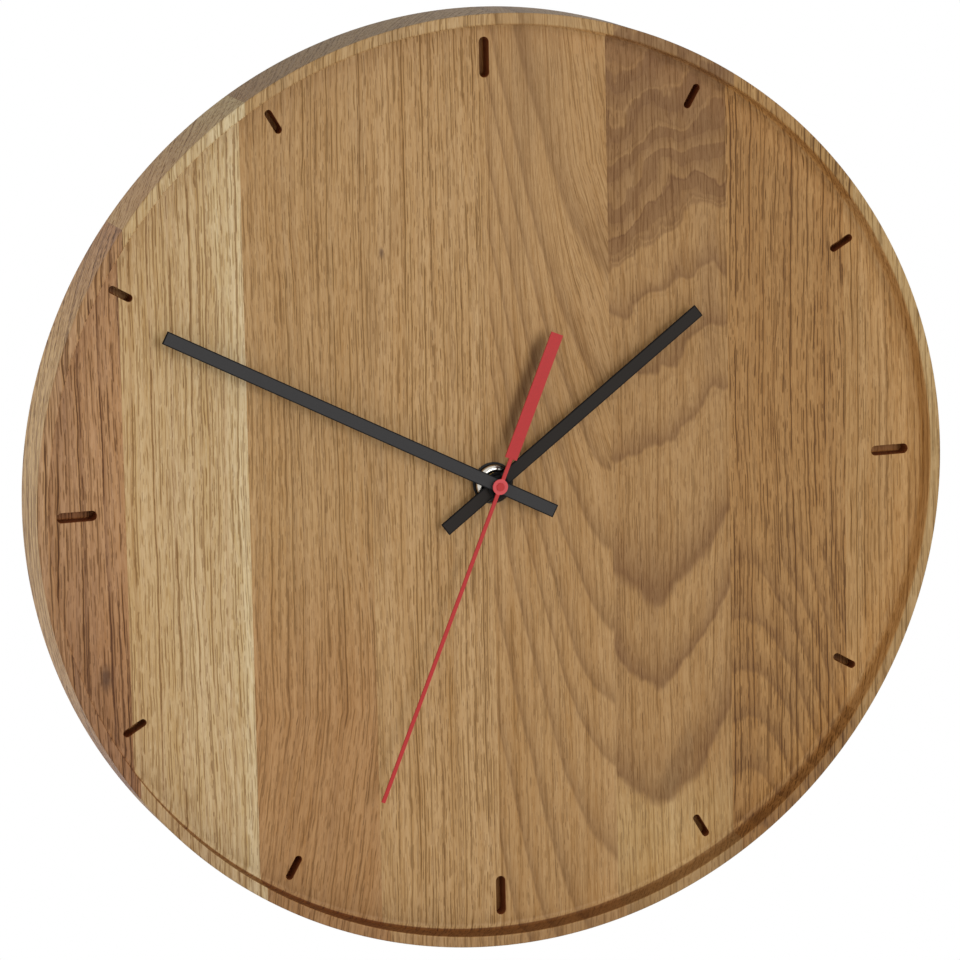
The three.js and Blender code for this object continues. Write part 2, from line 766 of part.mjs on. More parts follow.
function coilBobbin() {
  const innerWidth = statorBarWidth + 2 * seatGap;
  const innerDepth = statorThickness + 2 * seatGap;
  const halfWidth = innerWidth / 2 + bobbinWall;
  const halfDepth = innerDepth / 2 + bobbinWall;
  const sleeve = block(bobbinLeft, bobbinRight, coilY - halfWidth, coilY + halfWidth,
    coilZ - halfDepth, coilZ + halfDepth);
  const flange = (fromX) => alongCoil(rod(bobbinFlangeDiameter, fromX, fromX + bobbinFlangeThickness));
  const passage = block(bobbinLeft - 1, bobbinRight + 1, coilY - innerWidth / 2, coilY + innerWidth / 2,
    coilZ - innerDepth / 2, coilZ + innerDepth / 2);
  return cut(join(sleeve, flange(bobbinLeft), flange(bobbinRight - bobbinFlangeThickness)), passage);
}

function coilWinding() {
  const halfWidth = statorBarWidth / 2 + seatGap + bobbinWall;
  const halfDepth = statorThickness / 2 + seatGap + bobbinWall;
  const inner = 2 * (Math.hypot(halfWidth, halfDepth) + seatGap);
  const inset = bobbinFlangeThickness + seatGap;
  return alongCoil(tube(coilDiameter, inner, bobbinLeft + inset, bobbinRight - inset));
}

function motorParts() {
  return [
    piece('stator', stator(), finishes.siliconSteel),
    piece('coil_core', coilCore(), finishes.siliconSteel),
    piece('coil_bobbin', coilBobbin(), finishes.bobbinPlastic),
    piece('coil_winding', coilWinding(), finishes.copper),
    at(rotorArbor, piece('rotor_pinion', rotorPinion(), finishes.gearPlastic)),
    at(rotorArbor, piece('rotor_magnet', rotorMagnet(), finishes.magnet)),
  ];
}

// Going train, from the rotor to the centre wheel. Each wheel is turned so that its teeth mesh.
const toRotor = rotorDirection + 180;
const intermediateToothAngle = meshedAngle(
  rotorToothAngle, teeth.rotorPinion, teeth.intermediateWheel, toRotor);
const intermediatePinionAngle = 0;
const secondToothAngle = meshedAngle(
  intermediatePinionAngle, teeth.intermediatePinion, teeth.secondWheel, intermediateDirection + 180);
const secondPinionAngle = 0;
const thirdToothAngle = meshedAngle(
  secondPinionAngle, teeth.secondPinion, teeth.thirdWheel, thirdDirection);
const thirdPinionAngle = 0;
const centreToothAngle = meshedAngle(
  thirdPinionAngle, teeth.thirdPinion, teeth.centreWheel, thirdDirection + 180);

function intermediateWheel() {
  const wheelRadius = pitchRadius(rotorSpacing, teeth.intermediateWheel, teeth.rotorPinion);
  const pinionRadius = pitchRadius(trainSpacing, teeth.intermediatePinion, teeth.secondWheel);
  return join(
    wheel(teeth.intermediateWheel, wheelRadius, intermediateToothAngle, intermediateLevel),
    pinion(teeth.intermediatePinion, pinionRadius, intermediatePinionAngle, intermediateLevel, secondLevel),
    rod(pivotDiameter, arborBackZ, arborFrontZ, centre, smallSegments),
  );
}

function secondWheel() {
  const wheelRadius = pitchRadius(trainSpacing, teeth.secondWheel, teeth.intermediatePinion);
  const pinionRadius = pitchRadius(trainSpacing, teeth.secondPinion, teeth.thirdWheel);
  const blank = join(
    wheel(teeth.secondWheel, wheelRadius, secondToothAngle, secondLevel),
    pinion(teeth.secondPinion, pinionRadius, secondPinionAngle, secondLevel, thirdLevel),
  );
  const bore = secondArborDiameter + 2 * seatGap;
  return cut(blank, rod(bore, secondLevel - 2, centreLevel, centre, smallSegments));
}

function secondArbor() {
  return rod(secondArborDiameter, arborBackZ, secondHandZ + secondHandThickness / 2, centre, smallSegments);
}

function thirdWheel() {
  const pinionRadius = pitchRadius(trainSpacing, teeth.thirdPinion, teeth.centreWheel);
  return join(
    wheel(teeth.thirdWheel, thirdWheelRadius, thirdToothAngle, thirdLevel),
    pinion(teeth.thirdPinion, pinionRadius, thirdPinionAngle, thirdLevel, centreLevel),
    rod(pivotDiameter, arborBackZ, arborFrontZ, centre, smallSegments),
  );
}

const minuteTubeBackZ = centreLevel - levelPitch / 2;

function centreWheel() {
  const hub = rod(wheelHubDiameter, minuteTubeBackZ, centreLevel + wheelThickness / 2);
  const blank = join(wheel(teeth.centreWheel, centreWheelRadius, centreToothAngle, centreLevel), hub);
  return cut(blank, rod(minuteTubeDiameter + 2 * seatGap, minuteTubeBackZ - 1, motionLevel));
}

function goingTrain() {
  return [
    at(intermediateArbor, piece('intermediate_wheel', intermediateWheel(), finishes.gearPlastic)),
    piece('second_wheel', secondWheel(), finishes.gearPlastic),
    piece('second_arbor', secondArbor(), finishes.steel),
    at(thirdArbor, piece('third_wheel', thirdWheel(), finishes.gearPlastic)),
    piece('centre_wheel', centreWheel(), finishes.gearPlastic),
  ];
}

// Motion work: the minute tube's pinion drives the hour tube through the minute wheel on the setting stem
const cannonToothAngle = 0;
const minuteToothAngle = meshedAngle(
  cannonToothAngle, teeth.cannonPinion, teeth.minuteWheel, minuteWheelDirection);
const minutePinionAngle = 0;
const hourToothAngle = meshedAngle(
  minutePinionAngle, teeth.minutePinion, teeth.hourWheel, minuteWheelDirection + 180);

function minuteTube() {
  const radius = pitchRadius(motionSpacing, teeth.cannonPinion, teeth.minuteWheel);
  const frontZ = minuteHandZ + handThickness + tubeProud;
  const blank = join(
    rod(minuteTubeDiameter, minuteTubeBackZ, frontZ),
    wheel(teeth.cannonPinion, radius, cannonToothAngle, motionLevel),
  );
  const bore = secondArborDiameter + 2 * runningGap;
  return cut(blank, rod(bore, minuteTubeBackZ - 1, frontZ + 1, centre, smallSegments));
}

function hourWheel() {
  const radius = pitchRadius(motionSpacing, teeth.hourWheel, teeth.minutePinion);
  const backZ = hourLevel - wheelThickness / 2;
  const frontZ = hourHandZ + handThickness + tubeProud;
  const blank = join(
    wheel(teeth.hourWheel, radius, hourToothAngle, hourLevel),
    rod(hourTubeDiameter, backZ, frontZ),
  );
  return cut(blank, rod(minuteTubeDiameter + 2 * runningGap, backZ - 1, frontZ + 1));
}

function minuteWheel() {
  const pinionRadius = pitchRadius(motionSpacing, teeth.minutePinion, teeth.hourWheel);
  const blank = join(
    wheel(teeth.minuteWheel, minuteWheelRadius, minuteToothAngle, motionLevel),
    pinion(teeth.minutePinion, pinionRadius, minutePinionAngle, motionLevel, hourLevel),
  );
  return cut(blank, rod(stemDiameter + 2 * seatGap, motionLevel - 2, roomFrontZ));
}

function settingKnob() {
  const backZ = caseSetBack + knobSetBack;
  const ridges = Array.from({ length: 2 * knobRidges }, (_, i) => {
    const radius = knobDiameter / 2 - (i % 2) * knobRidgeHeight;
    const point = along(centre, (180 * i) / knobRidges, radius);
    return new THREE.Vector2(point.x, point.y);
  });
  return join(
    prism(new THREE.Shape(ridges), backZ, backZ + knobThickness),
    rod(stemDiameter, backZ + knobThickness / 2, arborFrontZ),
  );
}

function motionWork() {
  return [
    piece('minute_tube', minuteTube(), finishes.brass),
    piece('hour_wheel', hourWheel(), finishes.brass),
    at(minuteWheelArbor, piece('minute_wheel', minuteWheel(), finishes.gearPlastic)),
    at(minuteWheelArbor, piece('setting_knob', settingKnob(), finishes.casePlastic)),
  ];
}

// Circuit board, contacts and battery
function circuitBoard() {
  return block(boardLeft, boardRight, boardBottom, boardTop, boardBackZ, boardFrontZ);
}

function chipDome() {
  const radius = chipDiameter / 2;
  const topZ = boardBackZ - seatGap;
  const dome = Array.from({ length: 5 }, (_, i) => {
    const angle = (Math.PI / 2) * (i / 4);
    return [radius * Math.sin(angle), topZ - chipHeight * Math.cos(angle)];
  });
  const place = { x: (boardLeft + boardRight) / 2, y: boardBottom + chipDiameter };
  return turned([...dome, [0, topZ]], roundSegments).translate(place.x, place.y, 0);
}

function quartzCrystal() {
  const can = rod(crystalDiameter, -crystalLength / 2, crystalLength / 2).rotateY(Math.PI / 2);
  const x = (boardLeft + boardRight) / 2;
  return can.translate(x, boardTop - crystalDiameter, boardBackZ - seatGap - crystalDiameter / 2);
}

const stripX = roomHalf - seatGap - stripThickness / 2;
const stripY = roomTop - seatGap - stripThickness / 2;
const batteryCapX = stripX - stripThickness / 2 - seatGap;
const batteryBaseX = batteryCapX - batteryLength;

function positiveContact() {
  const route = [[stripX, bayBottom + caseCorner], [stripX, boardTop - boardHeight / 2]];
  return prism(bentStrip(route, stripThickness), stripZ, stripZ + stripWidth);
}

// One strip from the board, along the top and down the left side, ending in a bowed spring leaf
function negativeContact() {
  const corner = caseCorner;
  const reach = batteryBaseX - seatGap - stripThickness / 2;
  const bowFrom = new THREE.Vector2(-stripX, bayTop - caseCorner);
  const bowTo = new THREE.Vector2(-stripX, bayBottom + caseCorner);
  const pull = new THREE.Vector2(2 * reach + stripX, batteryY);
  const leaf = new THREE.QuadraticBezierCurve(bowFrom, pull, bowTo).getPoints(8);
  const route = [
    [boardLeft + boardPegInset, stripY],
    [-stripX + corner, stripY],
    [-stripX, stripY - corner],
    ...leaf.map((point) => [point.x, point.y]),
  ];
  return prism(bentStrip(route, stripThickness), stripZ, stripZ + stripWidth);
}

function battery() {
  const sleeve = rod(batteryDiameter, batteryBaseX, batteryCapX - capLength, centre, fineSegments);
  const cap = rod(capDiameter, batteryCapX - capLength - 1, batteryCapX);
  return join(sleeve, cap).rotateY(Math.PI / 2).translate(0, batteryY, batteryZ);
}

function electrics() {
  return [
    piece('circuit_board', circuitBoard(), finishes.board),
    piece('controller_chip', chipDome(), finishes.epoxy),
    piece('quartz_crystal', quartzCrystal(), finishes.steel),
    piece('positive_contact', positiveContact(), finishes.steel),
    piece('negative_contact', negativeContact(), finishes.steel),
    piece('battery', battery(), finishes.batterySleeve),
  ];
}

// Hands, drawn pointing at 12 o'clock
function straightHand(length, tail, hubDiameter, bore, backZ) {
  const frontZ = backZ + handThickness;
  const blade = block(-handWidth / 2, handWidth / 2, -tail, length, backZ, frontZ);
  const hub = rod(hubDiameter, backZ, frontZ, centre, fineSegments);
  return cut(join(blade, hub), rod(bore, backZ - 1, frontZ + 1));
}

function secondHand() {
  const frontZ = secondHandZ + secondHandThickness;
  const needle = secondNeedleWidth / 2;
  const tail = secondTailWidth / 2;
  const boreZ = secondHandZ + secondHandThickness / 2 + seatGap;
  const blank = join(
    block(-needle, needle, -secondNeckLength - 1, secondHandLength, secondHandZ, frontZ),
    block(-tail, tail, -secondTailLength, -secondNeckLength, secondHandZ, frontZ),
    rod(secondHubDiameter, secondHandZ, frontZ, centre, fineSegments),
    rod(secondCapDiameter, secondHandZ, frontZ + secondCapHeight),
    rod(secondColletDiameter, secondHandZ - secondColletLength, frontZ),
  );
  const bore = rod(secondArborDiameter + 2 * seatGap, secondHandZ - secondColletLength - 1, boreZ,
    centre, smallSegments);
  return cut(blank, bore);
}

function pointing(degrees, mesh) {
  mesh.rotation.z = -radians(degrees);
  return mesh;
}

function hands() {
  const hourBore = hourTubeDiameter + 2 * seatGap;
  const minuteBore = minuteTubeDiameter + 2 * seatGap;
  const hour = straightHand(hourHandLength, hourHandTail, hourHubDiameter, hourBore, hourHandZ);
  const minute = straightHand(minuteHandLength, minuteHandTail, minuteHubDiameter, minuteBore, minuteHandZ);
  return [
    pointing(hourHandAngle, piece('hour_hand', hour, finishes.blackLacquer)),
    pointing(minuteHandAngle, piece('minute_hand', minute, finishes.blackLacquer)),
    pointing(secondHandAngle, piece('second_hand', secondHand(), finishes.redLacquer)),
  ];
}

function group(name, members) {
  const holder = new THREE.Group();
  holder.name = name;
  holder.add(...members);
  return holder;
}

const movement = group('movement', [
  piece('movement_case', movementCase(), finishes.casePlastic),
  piece('movement_cover', movementCover(), finishes.casePlastic),
  piece('train_bridge', trainBridge(), finishes.bridgePlastic),
  ...motorParts(),
  ...goingTrain(),
  ...motionWork(),
  ...electrics(),
]);

const clock = group('wall_clock', [
  group('body', [...oakStaves(), ...hanger()]),
  movement,
  group('fixings', fixings()),
  group('hands', hands()),
]);
clock.rotation.x = Math.PI / 2;

export default clock;
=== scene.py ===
import json
import math

import bpy
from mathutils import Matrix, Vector

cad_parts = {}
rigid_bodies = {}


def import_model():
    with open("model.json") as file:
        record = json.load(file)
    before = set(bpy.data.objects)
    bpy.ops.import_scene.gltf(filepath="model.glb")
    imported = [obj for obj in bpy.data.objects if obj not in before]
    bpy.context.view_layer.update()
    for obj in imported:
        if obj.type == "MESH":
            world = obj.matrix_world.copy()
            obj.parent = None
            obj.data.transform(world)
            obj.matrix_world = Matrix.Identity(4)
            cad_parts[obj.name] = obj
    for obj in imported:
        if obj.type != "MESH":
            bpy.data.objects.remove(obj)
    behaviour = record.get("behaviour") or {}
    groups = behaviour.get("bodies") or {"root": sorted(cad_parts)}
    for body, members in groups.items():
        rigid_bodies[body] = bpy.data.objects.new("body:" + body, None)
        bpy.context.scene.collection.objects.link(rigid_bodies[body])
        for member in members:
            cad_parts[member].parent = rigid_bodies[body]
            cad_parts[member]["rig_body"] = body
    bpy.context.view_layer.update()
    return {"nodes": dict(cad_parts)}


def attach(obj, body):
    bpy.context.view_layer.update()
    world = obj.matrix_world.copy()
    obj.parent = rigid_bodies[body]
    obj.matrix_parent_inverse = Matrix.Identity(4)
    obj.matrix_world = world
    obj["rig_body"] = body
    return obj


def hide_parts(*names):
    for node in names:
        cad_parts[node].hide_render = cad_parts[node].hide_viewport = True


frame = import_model()
nodes = frame["nodes"]

# Sizes in the dial's frame, in millimetres: x right, y to 12 o'clock, z out of the wall.
# The turned body:
BODY_R = 149.99
RECESS_R = 146.3
BACK_R = 141.2
SIDE_Z = 8.8
DIAL_Z = 21.6
FRONT_Z = 29.99
RIM_ROUND = 0.7
COVE = 2.2
BACK_EDGE = 0.3
SIDE_EDGE = 0.35

# The staves are sawn apart by a wide cut, and their joints are then closed to a glue line.
STAVE = 40.0
SAW = 0.07
GLUE = 0.004
ON_SAWN_FACE = 0.002

# The hour slots, by length and width:
LONG_SLOT = (12.8, 3.2)
SHORT_SLOT = (8.4, 2.4)
SLOT_END_R = 141.9
SLOT_DEPTH = 6.0

# The hollows in the back. Rectangles go by left, right, bottom, top and corner radius, the room
# for the hanging screw's head by width, bottom and top. The cutters start BEHIND the back.
POCKET = (-28.95, 28.95, -28.98, 28.99, 5)
POCKET_DEPTH = 17.5
PLATE_SEAT = (-23.3, 23.3, 83.7, 106.3, 3.3)
PLATE_SEAT_DEPTH = 1.8
HEAD_ROOM = (12, 85, 105)
HEAD_ROOM_DEPTH = 10
PILOT_R = 1.5
PILOT_X = 17
PILOT_Y = 95
PILOT_DEPTH = 12.3
BUSH_HOLE_R = 4.4
BUSH_HOLE_Z = (10, 40)
BEHIND = -1

# The nut, above its washer:
NUT_Z = 22.4
NUT_R = 6.2
NUT_HOLE_R = 4.1
NUT_EDGE = 0.15
NUT_SIDE = 0.6
DOME_FOOT = 0.7
DOME_WIDTH = 1.5
DOME_HEIGHT = 1.6

# The black hands, by degrees from 12 o'clock, tail and length:
HOUR_BLADE = (53.2, 21.8, 85.6)
MINUTE_BLADE = (297.3, 21, 120.6)
BLADE_HALF = 2.15

# The broken edges of the pieces that are carried over:
BROKEN_EDGE = 0.08

# The floor, in the dial's frame:
FLOOR_Y = -700
FLOOR_HALF = 900
FLOOR_Z = (900, -350)

# The light and the camera, in metres and degrees. The focal length is in the photograph's pixels.
KEY_PLACE = (0.7, -2.4, 0.5)
KEY_SIZE = 1.0
KEY_POWER = 18
CAMERA_PLACE = (-0.5221, -1.6408, 0.3384)
CAMERA_TURN = (78.7774, 1.1624, -17.9678)
FOCAL = 5470.1
PHOTO_WIDTH = 960
SENSOR = 36


# Meshes

def to_row(point):
    """A point of the dial's frame, in the scene's axes and metres."""
    x, y, z = point
    return Vector((x, -z, y)) / 1000


def mesh_object(name, points, faces, material=None):
    mesh = bpy.data.meshes.new(name)
    mesh.from_pydata([to_row(p) for p in points], [], faces)
    mesh.validate()
    obj = bpy.data.objects.new(name, mesh)
    bpy.context.scene.collection.objects.link(obj)
    if material:
        mesh.materials.append(material)
    return obj


def lathe(name, profile, segments, material=None):
    """A closed turning about the hands' axis from (radius, z) pairs; radius 0 gives one point."""
    points, rows = [], []
    for radius, z in profile:
        if radius == 0:
            rows.append([len(points)] * segments)
            points.append((0, 0, z))
            continue
        rows.append(list(range(len(points), len(points) + segments)))
        for i in range(segments):
            a = 2 * math.pi * i / segments
            points.append((radius * math.cos(a), radius * math.sin(a), z))
    faces = []
    for low, high in zip(rows, rows[1:]):
        for i in range(segments):
            j = (i + 1) % segments
            face = list(dict.fromkeys([low[i], low[j], high[j], high[i]]))
            if len(face) > 2:
                faces.append(face)
    return mesh_object(name, points, faces, material)


def stacked(layers, start=0):
    """Points and faces of a closed solid from outlines of equal length, each with its height.
    The faces count points from start."""
    points, faces = [], []
    count = len(layers[0][0])
    for outline, z in layers:
        points += [(x, y, z) for x, y in outline]
    for k in range(len(layers) - 1):
        a, b = start + k * count, start + (k + 1) * count
        for i in range(count):
            j = (i + 1) % count
            faces.append([a + i, a + j, b + j, b + i])
    last = start + (len(layers) - 1) * count
    faces.append([start + i for i in reversed(range(count))])
    faces.append([last + i for i in range(count)])
    return points, faces


def prism(name, outline, bottom, top):
    return mesh_object(name, *stacked([(outline, bottom), (outline, top)]))


def arc(cx, cy, r, start, end, steps):
    out = []
    for i in range(steps + 1):
        a = math.radians(start + (end - start) * i / steps)
        out.append((cx + r * math.cos(a), cy + r * math.sin(a)))
    return out


def obround(width, bottom, top, turn=0.0):
    """An upright slot's outline, turned about the hands' axis."""
    r = width / 2
    outline = arc(0, top - r, r, 0, 180, 14) + arc(0, bottom + r, r, 180, 360, 14)
    c, s = math.cos(turn), math.sin(turn)
    return [(x * c - y * s, x * s + y * c) for x, y in outline]


def rectangle(left, right, bottom, top, corner):
    return (
        arc(right - corner, bottom + corner, corner, -90, 0, 6)
        + arc(right - corner, top - corner, corner, 0, 90, 6)
        + arc(left + corner, top - corner, corner, 90, 180, 6)
        + arc(left + corner, bottom + corner, corner, 180, 270, 6)
    )


def circle(radius, x=0.0, y=0.0, steps=48):
    return arc(x, y, radius, 0, 360 - 360 / steps, steps - 1)


def boolean(target, tool, operation):
    modifier = target.modifiers.new("cut", "BOOLEAN")
    modifier.object = tool
    modifier.operation = operation
    modifier.solver = "EXACT"
    graph = bpy.context.evaluated_depsgraph_get()
    mesh = bpy.data.meshes.new_from_object(target.evaluated_get(graph))
    target.modifiers.clear()
    target.data = mesh


def drop(obj):
    bpy.data.objects.remove(obj)


def smooth(obj, degrees):
    mesh = obj.data
    mesh.polygons.foreach_set("use_smooth", [True] * len(mesh.polygons))
    mesh.set_sharp_from_angle(angle=math.radians(degrees))
    weighted = obj.modifiers.new("weighted", "WEIGHTED_NORMAL")
    weighted.keep_sharp = True
    weighted.weight = 100


def stand_for(obj, node):
    body = nodes[node]["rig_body"]
    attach(obj, body)
    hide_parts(node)


# Materials. They work in the scene's axes, in millimetres: x right, y into the wall, z up.

class Graph:
    """One material's node tree, built with short calls. A plain number goes straight on its
    socket."""

    def __init__(self, name):
        self.material = bpy.data.materials.new(name)
        self.material.use_nodes = True
        self.tree = self.material.node_tree
        self.tree.nodes.clear()
        output = self.tree.nodes.new("ShaderNodeOutputMaterial")
        self.shader = self.tree.nodes.new("ShaderNodeBsdfPrincipled")
        self.tree.links.new(self.shader.outputs[0], output.inputs["Surface"])
        place = self.tree.nodes.new("ShaderNodeTexCoord").outputs["Object"]
        millimetres = self.tree.nodes.new("ShaderNodeVectorMath")
        millimetres.operation = "SCALE"
        self.put(millimetres.inputs[0], place)
        millimetres.inputs["Scale"].default_value = 1000
        self.place = millimetres.outputs[0]
        split = self.tree.nodes.new("ShaderNodeSeparateXYZ")
        self.put(split.inputs[0], self.place)
        self.x, self.y, self.z = split.outputs

    def put(self, socket, value):
        if isinstance(value, bpy.types.NodeSocket):
            self.tree.links.new(value, socket)
        elif isinstance(value, (tuple, list)) and len(value) == 3 and socket.type == "RGBA":
            socket.default_value = (*value, 1)
        else:
            socket.default_value = value

    def fill(self, node, values):
        for key, value in values.items():
            self.put(node.inputs[key], value)

    def math(self, operation, a, b=0.0, c=0.0):
        node = self.tree.nodes.new("ShaderNodeMath")
        node.operation = operation
        for socket, value in zip(node.inputs, (a, b, c)):
            self.put(socket, value)
        return node.outputs[0]

    def add(self, a, b):
        return self.math("ADD", a, b)

    def sub(self, a, b):
        return self.math("SUBTRACT", a, b)

    def mul(self, a, b):
        return self.math("MULTIPLY", a, b)

    def lerp(self, factor, a, b):
        return self.add(a, self.mul(factor, self.sub(b, a)))

    def radius(self):
        """The distance from the hands' axis."""
        return self.math("SQRT", self.add(self.mul(self.x, self.x), self.mul(self.z, self.z)))

    def ramp(self, value, low, high, out_low=0.0, out_high=1.0, kind="SMOOTHSTEP"):
        node = self.tree.nodes.new("ShaderNodeMapRange")
        node.interpolation_type = kind
        node.clamp = True
        self.fill(node, {"Value": value, "From Min": low, "From Max": high,
                         "To Min": out_low, "To Max": out_high})
        return node.outputs["Result"]

    def steps(self, value, *knots):
        """Straight pieces between (value, result) pairs."""
        total = knots[0][1]
        for (v0, r0), (v1, r1) in zip(knots, knots[1:]):
            total = self.add(self.ramp(value, v0, v1, 0, r1 - r0, "LINEAR"), total)
        return total

    def vector(self, x, y, z):
        node = self.tree.nodes.new("ShaderNodeCombineXYZ")
        for socket, value in zip(node.inputs, (x, y, z)):
            self.put(socket, value)
        return node.outputs[0]

    def noise(self, vector, scale, detail, roughness=0.5, seed=0.0):
        node = self.tree.nodes.new("ShaderNodeTexNoise")
        node.noise_dimensions = "4D"
        self.fill(node, {"Vector": vector, "W": seed, "Scale": scale, "Detail": detail,
                         "Roughness": roughness})
        return node.outputs["Fac"]

    def grain(self, across, width, thickness, length, seed, detail=1.0):
        """Noise about zero, in cells that are so wide, so thick and so long."""
        cells = self.vector(self.mul(across, 1 / width), self.mul(self.y, 1 / thickness),
                            self.mul(self.z, 1 / length))
        return self.sub(self.noise(cells, 1, detail, 0.55, seed), 0.5)

    def random(self, value):
        node = self.tree.nodes.new("ShaderNodeTexWhiteNoise")
        node.noise_dimensions = "1D"
        self.put(node.inputs["W"], value)
        return node.outputs["Value"]

    def mix(self, factor, a, b, blend="MIX"):
        node = self.tree.nodes.new("ShaderNodeMix")
        node.data_type = "RGBA"
        node.blend_type = blend
        node.clamp_factor = True
        # inputs 6 and 7 and output 2 are the node's colours
        self.put(node.inputs[0], factor)
        self.put(node.inputs[6], a)
        self.put(node.inputs[7], b)
        return node.outputs[2]

    def tinted(self, factor, color, tint):
        """The colour, multiplied by a tint as far as the factor says."""
        return self.mix(factor, color, self.mix(1.0, color, tint, "MULTIPLY"))

    def bump(self, height, strength, distance):
        node = self.tree.nodes.new("ShaderNodeBump")
        self.put(node.inputs["Height"], height)
        node.inputs["Strength"].default_value = strength
        node.inputs["Distance"].default_value = distance
        self.tree.links.new(node.outputs[0], self.shader.inputs["Normal"])

    def finish(self, color, roughness, metallic=0.0, specular=0.5):
        self.fill(self.shader, {"Base Color": color, "Roughness": roughness,
                                "Metallic": metallic, "Specular IOR Level": specular})
        return self.material


def srgb(r, g, b):
    def linear(v):
        v /= 255
        return v / 12.92 if v <= 0.04045 else ((v + 0.055) / 1.055) ** 2.4
    return (linear(r), linear(g), linear(b))


def darker(color, share):
    return tuple(v * share for v in color)


# Oak. Tints multiply red, green and blue.

# painted light on the dial beside the wall
PAINTED_LIGHT_BY_WALL = (1.25, 1.25, 1.25)
# painted light and shade on the inner wall: paler towards the top, darker towards the bottom
WALL_LIGHT = (1.25, 1.18, 1.1)
WALL_DARK = (0.37, 0.2, 0.07)
# painted sheen on the side along the grain; the other side tints darken end grain, top and foot
SIDE_SHEEN_ALONG_GRAIN = (1.3, 1.5, 1.4)
SIDE_ACROSS_GRAIN = (0.76, 0.64, 0.5)
SIDE_TOP = (0.56, 0.64, 0.52)
SIDE_FOOT = (0.76, 0.6, 0.4)
# painted light and shade on the rim: darker at the foot, paler and cooler at the top and on the
# right
RIM_FOOT = (0.8, 0.77, 0.77)
RIM_TOP = (1.0, 1.06, 1.14)
RIM_RIGHT = (1.05, 1.15, 1.25)
PORE_STAIN = (0.9, 0.82, 0.6)
OPEN_PORE = (0.5, 0.4, 0.15)
# a dark mark in the wood, and a painted shadow beside the red tail
DARK_MARK_AND_SHADOW = (0.42, 0.36, 0.3)
# painted shade in the routed slots, darkest on their walls
SLOT = srgb(255, 225, 195)
SLOT_WALL_SHADE = srgb(112, 52, 22)
SAPWOOD = srgb(188, 167, 128)
KNOT = srgb(66, 40, 24)

# Pores, by width, by the strip that each lies in, by their run along the grain, and by the level
# of noise below which they are closed:
LONG_PORES = (0.42, 2.3, 34, 0.45)
SHORT_PORES = (0.32, 1.1, 9, 0.48)
FINE_PORES = (0.24, 0.6, 3.5, 0.5)


def banded(g, count, fade):
    """Bands that start dark at each whole count and fade as it grows."""
    part = g.math("FRACT", count)
    return g.mul(g.math("POWER", g.sub(1, part), fade), g.ramp(part, 0, 0.1))


def pore_strips(g, across, kind, seed):
    """One pore in each strip of the wood, placed at random in it and broken along it: its width,
    the distance from it, and how dark it is."""
    width, spacing, length, closed = kind
    count = g.mul(across, 1 / spacing)
    strip = g.math("FLOOR", count)
    middle = g.ramp(g.random(g.add(strip, seed)), 0, 1, 0.2, 0.8, "LINEAR")
    away = g.mul(g.math("ABSOLUTE", g.sub(g.sub(count, strip), middle)), spacing)
    along = g.vector(g.mul(strip, 17.3), g.mul(g.y, 0.6), g.mul(g.z, 1 / length))
    run = g.noise(along, 1, 1, 0.5, seed)
    dark = g.ramp(g.random(g.add(strip, seed + 0.5)), 0, 1, 0.45, 1, "LINEAR")
    return width, away, g.mul(dark, g.ramp(run, closed, closed + 0.08))


def pore_lines(g, pores):
    width, away, dark = pores
    return g.mul(g.ramp(away, 0.3 * width, 0.7 * width, 1, 0), dark)


def pore_stains(g, pores):
    """The stain on both sides of each pore."""
    width, away, dark = pores
    return g.mul(g.ramp(away, 0.3 * width, 2.2 * width, 1, 0), dark)


